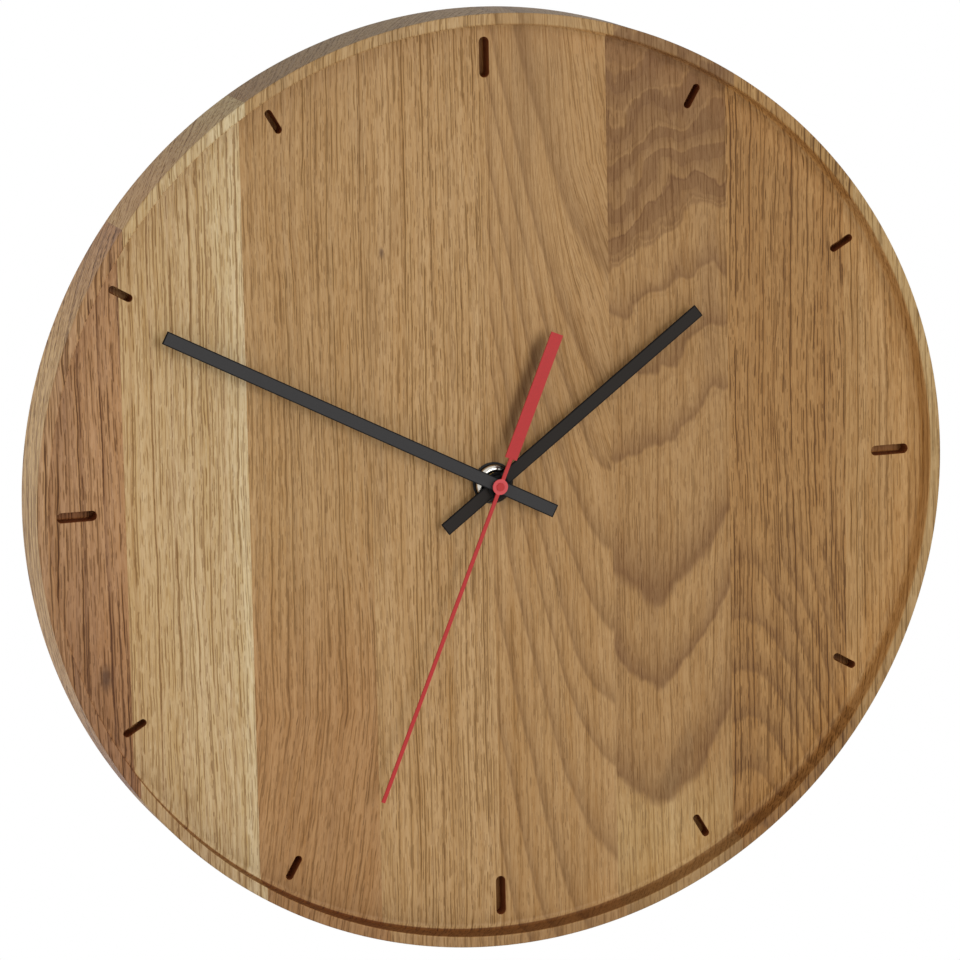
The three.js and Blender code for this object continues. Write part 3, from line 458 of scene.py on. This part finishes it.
def worked_faces(g, color, radius, depth):
    """The tones of dial, wall, side and rim; depth is measured from the dial into the wood."""
    # painted light: the dial is paler beside the wall on the right, against the shade that falls
    # beside it
    on_dial = g.ramp(g.math("ABSOLUTE", depth), 0.1, 1.0, 1, 0)
    painted_light_by_wall = g.mul(g.ramp(radius, 132, RECESS_R - 0.8), on_dial)
    painted_light_by_wall = g.mul(painted_light_by_wall, g.ramp(g.x, -40, 60))
    color = g.tinted(painted_light_by_wall, color, PAINTED_LIGHT_BY_WALL)
    # end grain is darker, and the photograph's shading of wall, side and rim is painted in
    height = g.math("ABSOLUTE", g.z)
    across_grain = g.ramp(height, 40, 140, kind="LINEAR")
    crisp = g.ramp(height, 20, 80)
    foot_start = g.lerp(crisp, RECESS_R - COVE, RECESS_R - 0.8)
    foot_end = g.lerp(crisp, RECESS_R, RECESS_R - 0.5)
    wall = g.ramp(radius, foot_start, foot_end)
    wall = g.mul(wall, g.ramp(radius, RECESS_R, RECESS_R + 0.25, 1, 0))
    wall = g.mul(wall, g.ramp(depth, -0.06, -0.02, 1, 0))
    away = g.math("MULTIPLY_ADD", g.z, -0.94, g.mul(g.x, -0.34))
    wall_tint = g.mix(g.ramp(away, 20, 147, kind="LINEAR"), WALL_LIGHT, WALL_DARK)
    color = g.tinted(wall, color, wall_tint)
    side = g.ramp(radius, BODY_R - 0.5, BODY_R - 0.2)
    side = g.mul(side, g.ramp(g.y, -FRONT_Z + 0.3, -FRONT_Z + 0.7))
    # painted sheen: the side is paler and cooler where the grain runs along it; end grain is
    # darker, and the side darkens towards top and foot
    side_tint = g.mix(g.ramp(across_grain, 0, 0.65), SIDE_SHEEN_ALONG_GRAIN, SIDE_ACROSS_GRAIN)
    side_tint = g.tinted(g.ramp(g.z, 90, 148), side_tint, SIDE_TOP)
    side_tint = g.tinted(g.ramp(g.z, -60, -110), side_tint, SIDE_FOOT)
    color = g.tinted(side, color, side_tint)
    rim_top = DIAL_Z - FRONT_Z
    rim = g.ramp(radius, RECESS_R + 0.1, RECESS_R + 0.5)
    rim = g.mul(rim, g.ramp(depth, rim_top + 0.2, rim_top + 0.6, 1, 0))
    rim_tint = g.mix(g.ramp(g.z, -120, 60), RIM_FOOT, RIM_TOP)
    rim_tint = g.tinted(g.ramp(g.x, 90, 140), rim_tint, RIM_RIGHT)
    return g.tinted(rim, color, rim_tint)


def oak(index, light, dark, ring, rings, dashes, flecks, wave=1.0, lean=None, figure=None,
        extras=()):
    """One stave's wood, set out in three directions so that face, wall, rim and side show one
    block: year rings, dark dashes where long pores are cut open, short flecks, fibres and slow
    changes of tone."""
    g = Graph(f"oak_{index}")
    seed = 3.7 * index
    light, dark = srgb(*light), srgb(*dark)
    deep = tuple(v * k for v, k in zip(dark, OPEN_PORE))
    across = g.sub(g.x, g.mul(g.add(g.y, 2 * DIAL_Z), 0.6))
    if lean:
        across = g.add(across, lean(g))
    across = g.add(across, g.mul(g.grain(g.x, 30, 30, 120, seed), 7 * wave))
    across = g.add(across, g.mul(g.grain(g.x, 8, 8, 55, seed + 1, 2), 1.8 * wave))
    across = g.add(across, g.grain(g.x, 2.5, 2.5, 11, seed + 9))
    fibre = g.grain(across, 0.3, 0.35, 4.5, seed + 2, 2)
    count = g.mul(across, 1 / ring)
    uneven = g.noise(g.vector(g.mul(count, 0.23), 0.0, 0.0), 1, 2, 0.5, seed + 3)
    count = g.add(count, g.mul(uneven, 1.6))
    year = g.random(g.math("FLOOR", count))
    band = g.mul(banded(g, count, 1.6), g.ramp(year, 0, 1, 0.3, 1.0))
    long_pores = pore_strips(g, across, LONG_PORES, seed + 4)
    short_pores = pore_strips(g, across, SHORT_PORES, seed + 5)
    fine_pores = pore_strips(g, across, FINE_PORES, seed + 6)
    dash = g.math("MAXIMUM", pore_lines(g, long_pores), g.mul(pore_lines(g, short_pores), 0.8))
    stain = g.math("MAXIMUM", pore_stains(g, long_pores), g.mul(pore_stains(g, short_pores), 0.8))
    fleck = g.mul(pore_lines(g, fine_pores), g.add(0.5, g.mul(band, 0.6)))
    streak = g.grain(across, 2.6, 3, 110, seed + 7, 3)
    cloud = g.grain(g.x, 16, 20, 90, seed + 8, 2)
    color = g.mix(g.mul(band, rings), light, dark)
    if figure:
        color = g.mix(figure(g, fibre), color, dark)
    color = g.mix(g.ramp(cloud, 0.05, 0.3, 0, 0.3), color, dark)
    for extra in extras:
        color = extra(g, color)
    color = g.tinted(g.mul(stain, dashes), color, PORE_STAIN)
    color = g.mix(g.mul(dash, dashes), color, deep)
    color = g.mix(g.mul(fleck, flecks), color, deep)
    change = g.add(g.mul(fibre, 0.7), g.add(g.mul(streak, 0.55), g.mul(cloud, 0.25)))
    shade = g.vector(*(g.add(1, g.mul(change, k)) for k in (0.75, 1.15, 2.0)))
    color = g.mix(1.0, color, shade, "MULTIPLY")
    radius, depth = g.radius(), g.add(g.y, DIAL_Z)
    color = worked_faces(g, color, radius, depth)
    # painted shade: the routed slots are darker and warmer, and darkest down their walls
    slot = g.ramp(depth, 0.03, 0.22)
    slot = g.mul(slot, g.ramp(depth, SLOT_DEPTH + 0.2, SLOT_DEPTH + 0.4, 1, 0))
    slot = g.mul(slot, g.mul(g.ramp(radius, 124, 125), g.ramp(radius, 143.5, 144, 1, 0)))
    slot_walls = g.mul(slot, g.ramp(depth, SLOT_DEPTH - 0.5, SLOT_DEPTH - 0.1, 0.85, 0))
    color = g.tinted(slot, color, SLOT)
    color = g.mix(slot_walls, color, SLOT_WALL_SHADE)
    pores = g.math("MAXIMUM", fleck, dash)
    rough = g.add(0.52, g.add(g.mul(pores, 0.2), g.mul(fibre, 0.15)))
    g.bump(g.mul(g.sub(g.mul(fibre, 0.3), pores), g.sub(1, slot)), 0.3, 0.0001)
    return g.finish(color, rough, 0, 0.25)


def hanging(g, x, width, rise, power):
    """How much higher a loop is at some distance from its lowest place."""
    away = g.mul(g.math("ABSOLUTE", g.sub(g.x, x)), 1 / width)
    return g.mul(g.math("POWER", away, power), rise)


def loops_at_joint(g, fibre):
    """Long loops that are cut through by the joint on their right."""
    sway = g.mul(g.grain(g.x, 20, 30, 40, 5.0, 1.5), 14)
    level = g.sub(g.add(g.z, sway), hanging(g, 41, 26, 61, 1.7))
    bands = ((-290, -4), (-170, -1), (-131, 0), (-98, 1), (-79, 2), (-52, 3), (-28, 4), (0, 5),
             (22, 6), (60, 7), (120, 8))
    count = g.add(g.steps(level, *bands), g.mul(fibre, 0.14))
    return g.mul(banded(g, count, 3.6), 0.7)


def loops_under_curls(g, fibre):
    """Loops that hang below, and a dark patch above with bands and pale lines that curl through
    it."""
    climb = g.mul(g.sub(g.x, 55), 0.45)
    upper = g.ramp(g.z, -25, 20)
    sway = g.mul(g.grain(g.x, 22, 30, 34, 9.0, 1.5), g.lerp(upper, 18, 40))
    ripple = g.mul(g.grain(g.x, 9, 14, 12, 12.0, 2), g.lerp(upper, 9, 16))
    bend = g.lerp(upper, hanging(g, 54, 26, 28, 1.8), climb)
    level = g.sub(g.add(g.z, g.add(sway, ripple)), bend)
    bands = ((-160, -1), (-111, 0), (-69, 1), (-44, 2), (8, 3), (33, 4), (55, 5), (78, 6),
             (96, 7), (112, 8), (130, 9))
    count = g.add(g.steps(level, *bands), g.mul(fibre, 0.14))
    frayed = g.add(level, g.mul(fibre, 2))
    pale = banded(g, g.mul(frayed, 0.09), 2.0)
    patch = g.mul(g.ramp(level, 75, 80), g.ramp(level, 112, 150, 0.64, 0.44))
    patch = g.mul(patch, g.sub(1, g.mul(pale, 0.75)))
    thin = g.mul(banded(g, g.mul(frayed, 0.17), 2.5), g.mul(upper, 0.16))
    loops = g.mul(banded(g, count, 3.0), g.lerp(upper, 0.85, 0.75))
    return g.math("MAXIMUM", g.add(patch, thin), loops)


def arches_at_foot(g, fibre):
    """Nested arches in the lower half of the stave."""
    sway = g.mul(g.grain(g.x, 15, 30, 30, 4.0), 10)
    count = g.mul(g.add(g.add(g.z, hanging(g, 84, 16, 20, 1.7)), sway), 1 / 17)
    count = g.add(count, g.mul(fibre, 0.3))
    return g.mul(banded(g, count, 2), g.ramp(g.z, -45, -8, 0.55, 0))


def leaning(*knots):
    """A lean of the grain, by height."""
    return lambda g: g.steps(g.z, *knots)


def fanned(start, end, *knots):
    """A lean that grows from one side of the stave to the other."""
    return lambda g: g.mul(g.steps(g.z, *knots), g.ramp(g.x, start, end))


def sapwood(edge, width):
    """A pale strip on one side of the stave, wider at the top."""
    def extra(g, color):
        sway = g.mul(g.grain(0.0, 1, 90, 40, 2.0, 2), 5)
        wide = g.ramp(g.z, 10, 130, width, 2.2 * width)
        strip = g.ramp(g.math("DIVIDE", g.sub(g.add(g.x, sway), edge), wide), -1, -0.4)
        streak = g.grain(g.x, 1.6, 3, 120, 6.0, 2)
        strip = g.mul(strip, g.ramp(streak, -0.15, 0.15, 0.35, 0.8))
        return g.mix(strip, color, SAPWOOD)
    return extra


def toned(start, end, tint):
    """A slow change of tone from one height to another."""
    return lambda g, color: g.tinted(g.ramp(g.z, start, end), color, tint)


def graded(start, end, tint):
    """A slow change of tone from one side of the stave to the other."""
    return lambda g, color: g.tinted(g.ramp(g.x, start, end), color, tint)


def mark_and_shadow(x0, z0, x1, z1, half, strength):
    """A soft dark band along a line, on the dial's side of the wood. It serves for marks in the
    wood and for painted shadows.
    """
    length = math.hypot(x1 - x0, z1 - z0)
    ux, uz = (x1 - x0) / length, (z1 - z0) / length

    def extra(g, color):
        x, z = g.sub(g.x, x0), g.sub(g.z, z0)
        along = g.add(g.mul(x, ux), g.mul(z, uz))
        off = g.math("ABSOLUTE", g.sub(g.mul(x, uz), g.mul(z, ux)))
        off = g.add(off, g.mul(g.grain(g.x, 2.5, 4, 9, 7.0, 2), 2.5))
        darkening = g.mul(g.ramp(off, 0.2 * half, 1.3 * half, strength, 0), g.ramp(along, -7, 3))
        darkening = g.mul(darkening, g.ramp(along, length - 3, length + 6, 1, 0))
        darkening = g.mul(darkening, g.ramp(g.y, -DIAL_Z + 2, -DIAL_Z + 6, 1, 0))
        return g.tinted(darkening, color, DARK_MARK_AND_SHADOW)
    return extra


def knot(x, z, size):
    """A small dark knot."""
    def extra(g, color):
        dx = g.mul(g.sub(g.x, x), 1 / size)
        dz = g.mul(g.sub(g.z, z), 0.45 / size)
        away = g.math("SQRT", g.add(g.mul(dx, dx), g.mul(dz, dz)))
        ragged = g.mul(g.noise(g.place, 0.6, 2), 0.7)
        return g.mix(g.ramp(g.add(away, ragged), 0.5, 1.6, 0.75, 0), color, KNOT)
    return extra


STAVE_LOOKS = [
    dict(light=(162, 122, 82), dark=(93, 55, 29), ring=2.6, rings=0.8, wave=1.3, dashes=0.95,
         flecks=1.0, extras=[toned(20, -90, (0.83, 0.75, 0.72)), knot(-128, -52, 2.4)]),
    dict(light=(176, 149, 107), dark=(122, 80, 43), ring=2.3, rings=0.4, dashes=0.72,
         flecks=0.75, extras=[graded(-96, -122, (0.97, 0.92, 0.86)), sapwood(-80, 8)]),
    dict(light=(160, 125, 80), dark=(98, 65, 29), ring=2.5, rings=0.4, wave=1.1, dashes=0.6,
         flecks=0.65, lean=leaning((-150, 12), (-70, 0)),
         extras=[toned(0, -80, (0.92, 0.82, 0.76))]),
    dict(light=(163, 128, 83), dark=(104, 70, 32), ring=1.9, rings=0.4, wave=0.6, dashes=0.66,
         flecks=0.7, extras=[knot(-35, 76, 0.9)]),
    # The dark band here is a painted shadow of the red tail. It stays when the hand turns.
    dict(light=(157, 121, 76), dark=(98, 64, 27), ring=2.6, rings=0.15, dashes=0.4, flecks=0.6,
         lean=fanned(0, 30, (-150, -3), (-40, -2), (0, 0), (60, 16), (100, 28), (150, 34)),
         figure=loops_at_joint, extras=[mark_and_shadow(5.8, 15.5, 17, 44.3, 2.9, 0.85)]),
    dict(light=(151, 115, 70), dark=(92, 56, 22), ring=2.0, rings=0.15, dashes=0.45, flecks=0.6,
         figure=loops_under_curls,
         extras=[toned(105, 135, (0.86, 0.82, 0.82)), toned(-92, -120, (1.2, 1.34, 1.48)),
                 mark_and_shadow(57, -106, 66, -88, 4, 0.32)]),
    dict(light=(148, 109, 61), dark=(86, 52, 19), ring=2.4, rings=0.35, dashes=0.9, flecks=0.75,
         figure=arches_at_foot),
    dict(light=(158, 121, 74), dark=(95, 61, 25), ring=2.1, rings=0.3, wave=0.7, dashes=0.65,
         flecks=0.65),
]


# Other finishes

def lacquer(name, color, roughness, specular, blade=None, hub=None):
    """Paint. A blade is darker along its edges, a painted shade, and a hub's colour makes a paler
    ring.
    """
    g = Graph(name)
    grain = g.noise(g.place, 2.2, 3, 0.6)
    speck = g.noise(g.place, 14, 2)
    tint = g.mix(g.ramp(grain, 0.3, 0.7), color, darker(color, 0.88))
    if blade:
        degrees, tail, length = blade
        c, s = math.cos(math.radians(degrees)), math.sin(math.radians(degrees))
        over = g.math("ABSOLUTE", g.sub(g.mul(g.x, c), g.mul(g.z, s)))
        along = g.add(g.mul(g.x, s), g.mul(g.z, c))
        # painted shade along the blade's edges
        painted_edge_shade = g.ramp(over, BLADE_HALF - 0.5, BLADE_HALF - 0.15)
        painted_edge_shade = g.math("MAXIMUM", painted_edge_shade, g.ramp(along, length - 0.5, length - 0.15))
        painted_edge_shade = g.math("MAXIMUM", painted_edge_shade, g.ramp(along, -tail + 0.15, -tail + 0.5, 1, 0))
        tint = g.mix(painted_edge_shade, tint, srgb(8, 8, 9))
    if hub:
        radius = g.radius()
        ring = g.mul(g.ramp(radius, 1.25, 1.4), g.ramp(radius, 2.5, 2.6, 1, 0))
        tint = g.mix(g.mul(ring, 0.55), tint, hub)
    g.bump(g.add(grain, g.mul(speck, 0.4)), 0.12, 0.00005)
    rough = g.ramp(speck, 0.2, 0.8, roughness - 0.06, roughness + 0.08)
    return g.finish(tint, rough, 0, specular)


def turning_lines(g, radius):
    """Fine lines round the hands' axis."""
    return g.noise(g.vector(g.mul(radius, 9), g.mul(g.y, 2), 0.0), 1, 3, 0.7)


def turned_metal(name, color, roughness):
    g = Graph(name)
    lines = turning_lines(g, g.radius())
    worn = g.noise(g.place, 0.7, 3, 0.6)
    shade = g.mix(g.ramp(worn, 0.35, 0.75), color, darker(color, 0.82))
    g.bump(lines, 0.08, 0.00004)
    return g.finish(shade, g.ramp(lines, 0.3, 0.7, roughness - 0.04, roughness + 0.08), 1.0)


def nickel_with_painted_reflection():
    """Plating with the photograph's reflections painted in: bright on the upper left of its
    shoulder and dark everywhere else."""
    g = Graph("nickel_with_painted_reflection")
    radius = g.radius()
    lines = turning_lines(g, radius)
    facing = g.math("DIVIDE", g.math("MULTIPLY_ADD", g.x, -0.94, g.mul(g.z, 0.34)), radius)
    bright = g.mul(g.ramp(facing, -0.05, 0.4), g.ramp(radius, 4.5, 5.0))
    bright = g.mul(bright, g.ramp(radius, 6.05, 6.18, 1, 0))
    shade = g.mix(bright, srgb(34, 32, 30), srgb(208, 203, 193))
    g.bump(lines, 0.08, 0.00004)
    return g.finish(shade, g.ramp(lines, 0.3, 0.7, 0.14, 0.26), 1.0)


def brushed_metal(name, color, roughness, fineness):
    """Metal with brushed lines, as fine as given along x, y and z."""
    g = Graph(name)
    stretched = g.vector(*(g.mul(v, k) for v, k in zip((g.x, g.y, g.z), fineness)))
    lines = g.noise(stretched, 6, 3, 0.7)
    stain = g.noise(g.place, 0.35, 3, 0.6)
    shade = g.mix(g.ramp(stain, 0.4, 0.7), color, darker(color, 0.75))
    g.bump(lines, 0.1, 0.00004)
    return g.finish(shade, g.ramp(lines, 0.3, 0.7, roughness - 0.06, roughness + 0.1), 1.0)


def plastic(name, color, roughness, grain, depth):
    """Moulded stuff with flow marks, and a surface whose grain is so fine and so deep."""
    g = Graph(name)
    cells = g.noise(g.place, grain, 3, 0.6)
    flow = g.noise(g.vector(g.mul(g.x, 0.12), g.mul(g.y, 0.4), g.mul(g.z, 0.05)), 1, 3)
    shade = g.mix(g.ramp(flow, 0.35, 0.7), color, darker(color, 0.85))
    g.bump(cells, depth, 0.00006)
    rough = g.ramp(cells, 0.3, 0.7, roughness - 0.08, roughness + 0.08)
    return g.finish(shade, rough, 0, 0.4)


def wound_copper():
    g = Graph("enamelled_wire")
    wire = 0.28
    uneven = g.mul(g.noise(g.place, 0.6, 2), 0.3)
    turns = g.math("SINE", g.mul(g.add(g.x, uneven), 2 * math.pi / wire))
    stain = g.noise(g.place, 0.9, 3, 0.6)
    shade = g.mix(g.ramp(turns, -1, 1), srgb(92, 46, 22), srgb(196, 112, 58))
    shade = g.mix(g.ramp(stain, 0.45, 0.75, 0, 0.4), shade, srgb(120, 60, 28))
    g.bump(turns, 0.5, 0.0001)
    return g.finish(shade, 0.35, 0.9)


def printed_board():
    g = Graph("printed_board")
    cells = g.tree.nodes.new("ShaderNodeTexBrick")
    g.fill(cells, {"Vector": g.vector(g.x, g.z, 0.0), "Scale": 0.32, "Mortar Size": 0.06,
                   "Brick Width": 0.9, "Row Height": 0.45})
    weave = g.noise(g.place, 4, 2)
    mask = g.mix(g.ramp(weave, 0.3, 0.7), srgb(34, 92, 52), srgb(44, 112, 66))
    shade = g.mix(cells.outputs["Fac"], mask, srgb(84, 142, 88))
    g.bump(cells.outputs["Fac"], 0.2, 0.00005)
    return g.finish(shade, 0.4)


def cell_sleeve():
    g = Graph("cell_sleeve")
    scuff = g.noise(g.vector(g.mul(g.x, 0.3), g.y, g.z), 1.4, 3, 0.6)
    body = g.mix(g.ramp(scuff, 0.4, 0.75), srgb(52, 64, 78), srgb(74, 86, 100))
    body = g.mix(g.ramp(g.x, 12.0, 12.3), body, srgb(176, 132, 74))
    ends = g.math("MAXIMUM", g.ramp(g.x, 23.9, 24.0), g.ramp(g.x, -24.3, -24.2, 1, 0))
    shade = g.mix(ends, body, srgb(186, 188, 190))
    g.bump(scuff, 0.06, 0.00005)
    return g.finish(shade, g.ramp(scuff, 0.3, 0.7, 0.25, 0.4), g.add(0.3, g.mul(ends, 0.7)))


def magnet_grit():
    g = Graph("sintered_magnet")
    grit = g.noise(g.place, 8, 4, 0.7)
    shade = g.mix(g.ramp(grit, 0.3, 0.7), srgb(46, 46, 50), srgb(84, 84, 88))
    g.bump(grit, 0.3, 0.00008)
    return g.finish(shade, 0.55, 0.6)


def finishes():
    """The material of each piece that is carried over."""
    hour_black = lacquer("hour_lacquer", srgb(38, 34, 31), 0.5, 0.08, blade=HOUR_BLADE)
    minute_black = lacquer("minute_lacquer", srgb(54, 53, 53), 0.5, 0.08, blade=MINUTE_BLADE)
    red = lacquer("red_lacquer", srgb(163, 24, 23), 0.42, 0.35, hub=srgb(198, 78, 80))
    brass = turned_metal("turned_brass", srgb(196, 160, 92), 0.25)
    steel = brushed_metal("spring_steel", srgb(176, 178, 180), 0.3, (0.4, 1, 1))
    silicon = brushed_metal("stator_steel", srgb(150, 152, 156), 0.42, (1, 0.3, 1))
    gear = plastic("gear_plastic", srgb(236, 232, 220), 0.42, 5, 0.06)
    case = plastic("case_plastic", srgb(30, 31, 33), 0.5, 9, 0.15)
    pale = plastic("pale_plastic", srgb(222, 214, 192), 0.45, 6, 0.1)
    rubber = plastic("gasket_rubber", srgb(26, 26, 27), 0.8, 4, 0.3)
    fibre = plastic("washer_fibre", srgb(20, 19, 19), 0.6, 12, 0.2)
    epoxy = plastic("epoxy_drop", srgb(18, 18, 19), 0.2, 2, 0.05)
    return {
        "hour_hand": hour_black, "minute_hand": minute_black, "second_hand": red,
        "hanger_plate": brass, "hanger_screw_left": brass, "hanger_screw_right": brass,
        "movement_case": case, "movement_cover": case, "setting_knob": case,
        "threaded_bush": brass, "hour_wheel": brass, "minute_tube": brass,
        "case_gasket": rubber, "dial_washer": fibre,
        "train_bridge": pale, "coil_bobbin": pale,
        "stator": silicon, "coil_core": silicon, "coil_winding": wound_copper(),
        "rotor_pinion": gear, "intermediate_wheel": gear, "second_wheel": gear,
        "third_wheel": gear, "centre_wheel": gear, "minute_wheel": gear,
        "rotor_magnet": magnet_grit(),
        "second_arbor": steel, "quartz_crystal": steel, "positive_contact": steel,
        "negative_contact": steel,
        "circuit_board": printed_board(), "controller_chip": epoxy, "battery": cell_sleeve(),
    }


# Pieces

def body_blank():
    profile = [(0, 0), (BACK_R - BACK_EDGE, 0), (BACK_R + BACK_EDGE, BACK_EDGE)]
    profile += [(BODY_R - SIDE_EDGE, SIDE_Z - SIDE_EDGE), (BODY_R, SIDE_Z + SIDE_EDGE)]
    profile += arc(BODY_R - RIM_ROUND, FRONT_Z - RIM_ROUND, RIM_ROUND, 0, 90, 6)
    profile += arc(RECESS_R + RIM_ROUND, FRONT_Z - RIM_ROUND, RIM_ROUND, 90, 180, 6)
    profile += arc(RECESS_R - COVE, DIAL_Z + COVE, COVE, 0, -90, 9)
    profile += [(0, DIAL_Z)]
    return lathe("blank", profile, 360)


def slot_tools():
    """Cutters for the twelve slots: straight walls, a rounded floor and a barely broken upper
    edge. Each layer is grown by its first number."""
    points, faces = [], []
    floor_z = DIAL_Z - SLOT_DEPTH
    layers = [(-0.25, floor_z), (0, floor_z + 0.25), (0, DIAL_Z - 0.1), (0.1, DIAL_Z),
              (0.15, DIAL_Z + 0.8)]
    for hour in range(12):
        length, width = LONG_SLOT if hour % 3 == 0 else SHORT_SLOT
        turn = -math.radians(30 * hour)
        rings = []
        for grow, z in layers:
            inner, outer = SLOT_END_R - length - grow, SLOT_END_R + grow
            rings.append((obround(width + 2 * grow, inner, outer, turn), z))
        more_points, more_faces = stacked(rings, len(points))
        points += more_points
        faces += more_faces
    return mesh_object("slot_tools", points, faces)


def close_joints(mesh, left, right):
    """Moves both sawn faces out until only the glue line is left open."""
    move = (SAW - GLUE) / 2
    for vertex in mesh.vertices:
        x = vertex.co.x * 1000
        if abs(x - left) < ON_SAWN_FACE:
            vertex.co.x = (left - move) / 1000
        elif abs(x - right) < ON_SAWN_FACE:
            vertex.co.x = (right + move) / 1000


def build_staves(materials):
    blank = body_blank()
    tools = [
        slot_tools(),
        prism("pocket", rectangle(*POCKET), BEHIND, POCKET_DEPTH),
        prism("bush_hole", circle(BUSH_HOLE_R), *BUSH_HOLE_Z),
        prism("plate_seat", rectangle(*PLATE_SEAT), BEHIND, PLATE_SEAT_DEPTH),
        prism("head_room", obround(*HEAD_ROOM), BEHIND, HEAD_ROOM_DEPTH),
    ]
    for x in (-PILOT_X, PILOT_X):
        tools.append(prism("pilot", circle(PILOT_R, x, PILOT_Y, 24), BEHIND, PILOT_DEPTH))
    for tool in tools:
        boolean(blank, tool, "DIFFERENCE")
        drop(tool)
    # the slabs reach out of the body all round
    reach, above = 151, 31
    first = -STAVE * len(materials) / 2
    for i, material in enumerate(materials):
        left = first + STAVE * i + SAW / 2
        right = left + STAVE - SAW
        outline = [(left, -reach), (right, -reach), (right, reach), (left, reach)]
        slab = prism("slab", outline, BEHIND, above)
        stave = bpy.data.objects.new(f"oak_stave_{i + 1}", blank.data.copy())
        bpy.context.scene.collection.objects.link(stave)
        boolean(stave, slab, "INTERSECT")
        drop(slab)
        close_joints(stave.data, left, right)
        stave.data.materials.clear()
        stave.data.materials.append(material)
        smooth(stave, 35)
        stand_for(stave, f"stave_{i + 1}")
    drop(blank)


def build_nut(material):
    top = NUT_Z + DOME_FOOT + DOME_HEIGHT
    profile = [(NUT_HOLE_R, NUT_Z), (NUT_R - NUT_EDGE, NUT_Z)]
    profile += [(NUT_R, NUT_Z + NUT_EDGE), (NUT_R, NUT_Z + NUT_SIDE)]
    for r, z in arc(0, 0, 1, 0, 90, 12):
        profile.append((NUT_R + DOME_WIDTH * (r - 1), NUT_Z + DOME_FOOT + DOME_HEIGHT * z))
    profile += [(NUT_HOLE_R + NUT_EDGE, top), (NUT_HOLE_R, top - NUT_EDGE), (NUT_HOLE_R, NUT_Z)]
    nut = lathe("domed_nut", profile, 96, material)
    smooth(nut, 40)
    stand_for(nut, "fixing_nut")


def dress(node, material):
    """A carried-over piece: its finish, and fine rounded edges."""
    obj = nodes[node]
    obj.data.materials.clear()
    obj.data.materials.append(material)
    weld = obj.modifiers.new("weld", "WELD")
    weld.merge_threshold = 1e-6
    bevel = obj.modifiers.new("edges", "BEVEL")
    bevel.width = BROKEN_EDGE / 1000
    bevel.segments = 2
    bevel.limit_method = "ANGLE"
    bevel.angle_limit = math.radians(40)


# Stage, light and camera

def floor():
    g = Graph("stage_paint")
    speck = g.noise(g.place, 0.02, 2)
    white = g.mix(g.ramp(speck, 0.3, 0.7), (0.86, 0.86, 0.86), (0.88, 0.88, 0.88))
    paint = g.finish(white, 0.9, 0, 0.1)
    front, back = FLOOR_Z
    points = [(-FLOOR_HALF, FLOOR_Y, front), (FLOOR_HALF, FLOOR_Y, front),
              (FLOOR_HALF, FLOOR_Y, back), (-FLOOR_HALF, FLOOR_Y, back)]
    obj = mesh_object("floor", points, [[0, 1, 2, 3]], paint)


def key_light():
    data = bpy.data.lights.new("key", "AREA")
    data.shape = "DISK"
    data.size = KEY_SIZE
    data.energy = KEY_POWER
    obj = bpy.data.objects.new("key", data)
    bpy.context.scene.collection.objects.link(obj)
    obj.location = KEY_PLACE
    obj.rotation_euler = (-Vector(KEY_PLACE)).to_track_quat("-Z", "Y").to_euler()


def studio():
    world = bpy.data.worlds.new("studio")
    bpy.context.scene.world = world
    world.use_nodes = True
    back = world.node_tree.nodes["Background"]
    back.inputs["Color"].default_value = (1, 1, 1, 1)
    back.inputs["Strength"].default_value = 1.0
    key_light()
    bpy.context.scene.view_settings.view_transform = "Standard"


def camera():
    data = bpy.data.cameras.new("camera")
    data.sensor_width = SENSOR
    data.lens = FOCAL / PHOTO_WIDTH * SENSOR
    data.clip_start = 0.05
    obj = bpy.data.objects.new("camera", data)
    bpy.context.scene.collection.objects.link(obj)
    obj.location = CAMERA_PLACE
    obj.rotation_euler = [math.radians(a) for a in CAMERA_TURN]
    bpy.context.scene.camera = obj


build_staves([oak(i + 1, **looks) for i, looks in enumerate(STAVE_LOOKS)])
build_nut(nickel_with_painted_reflection())
for node, material in finishes().items():
    dress(node, material)
floor()
studio()
camera()
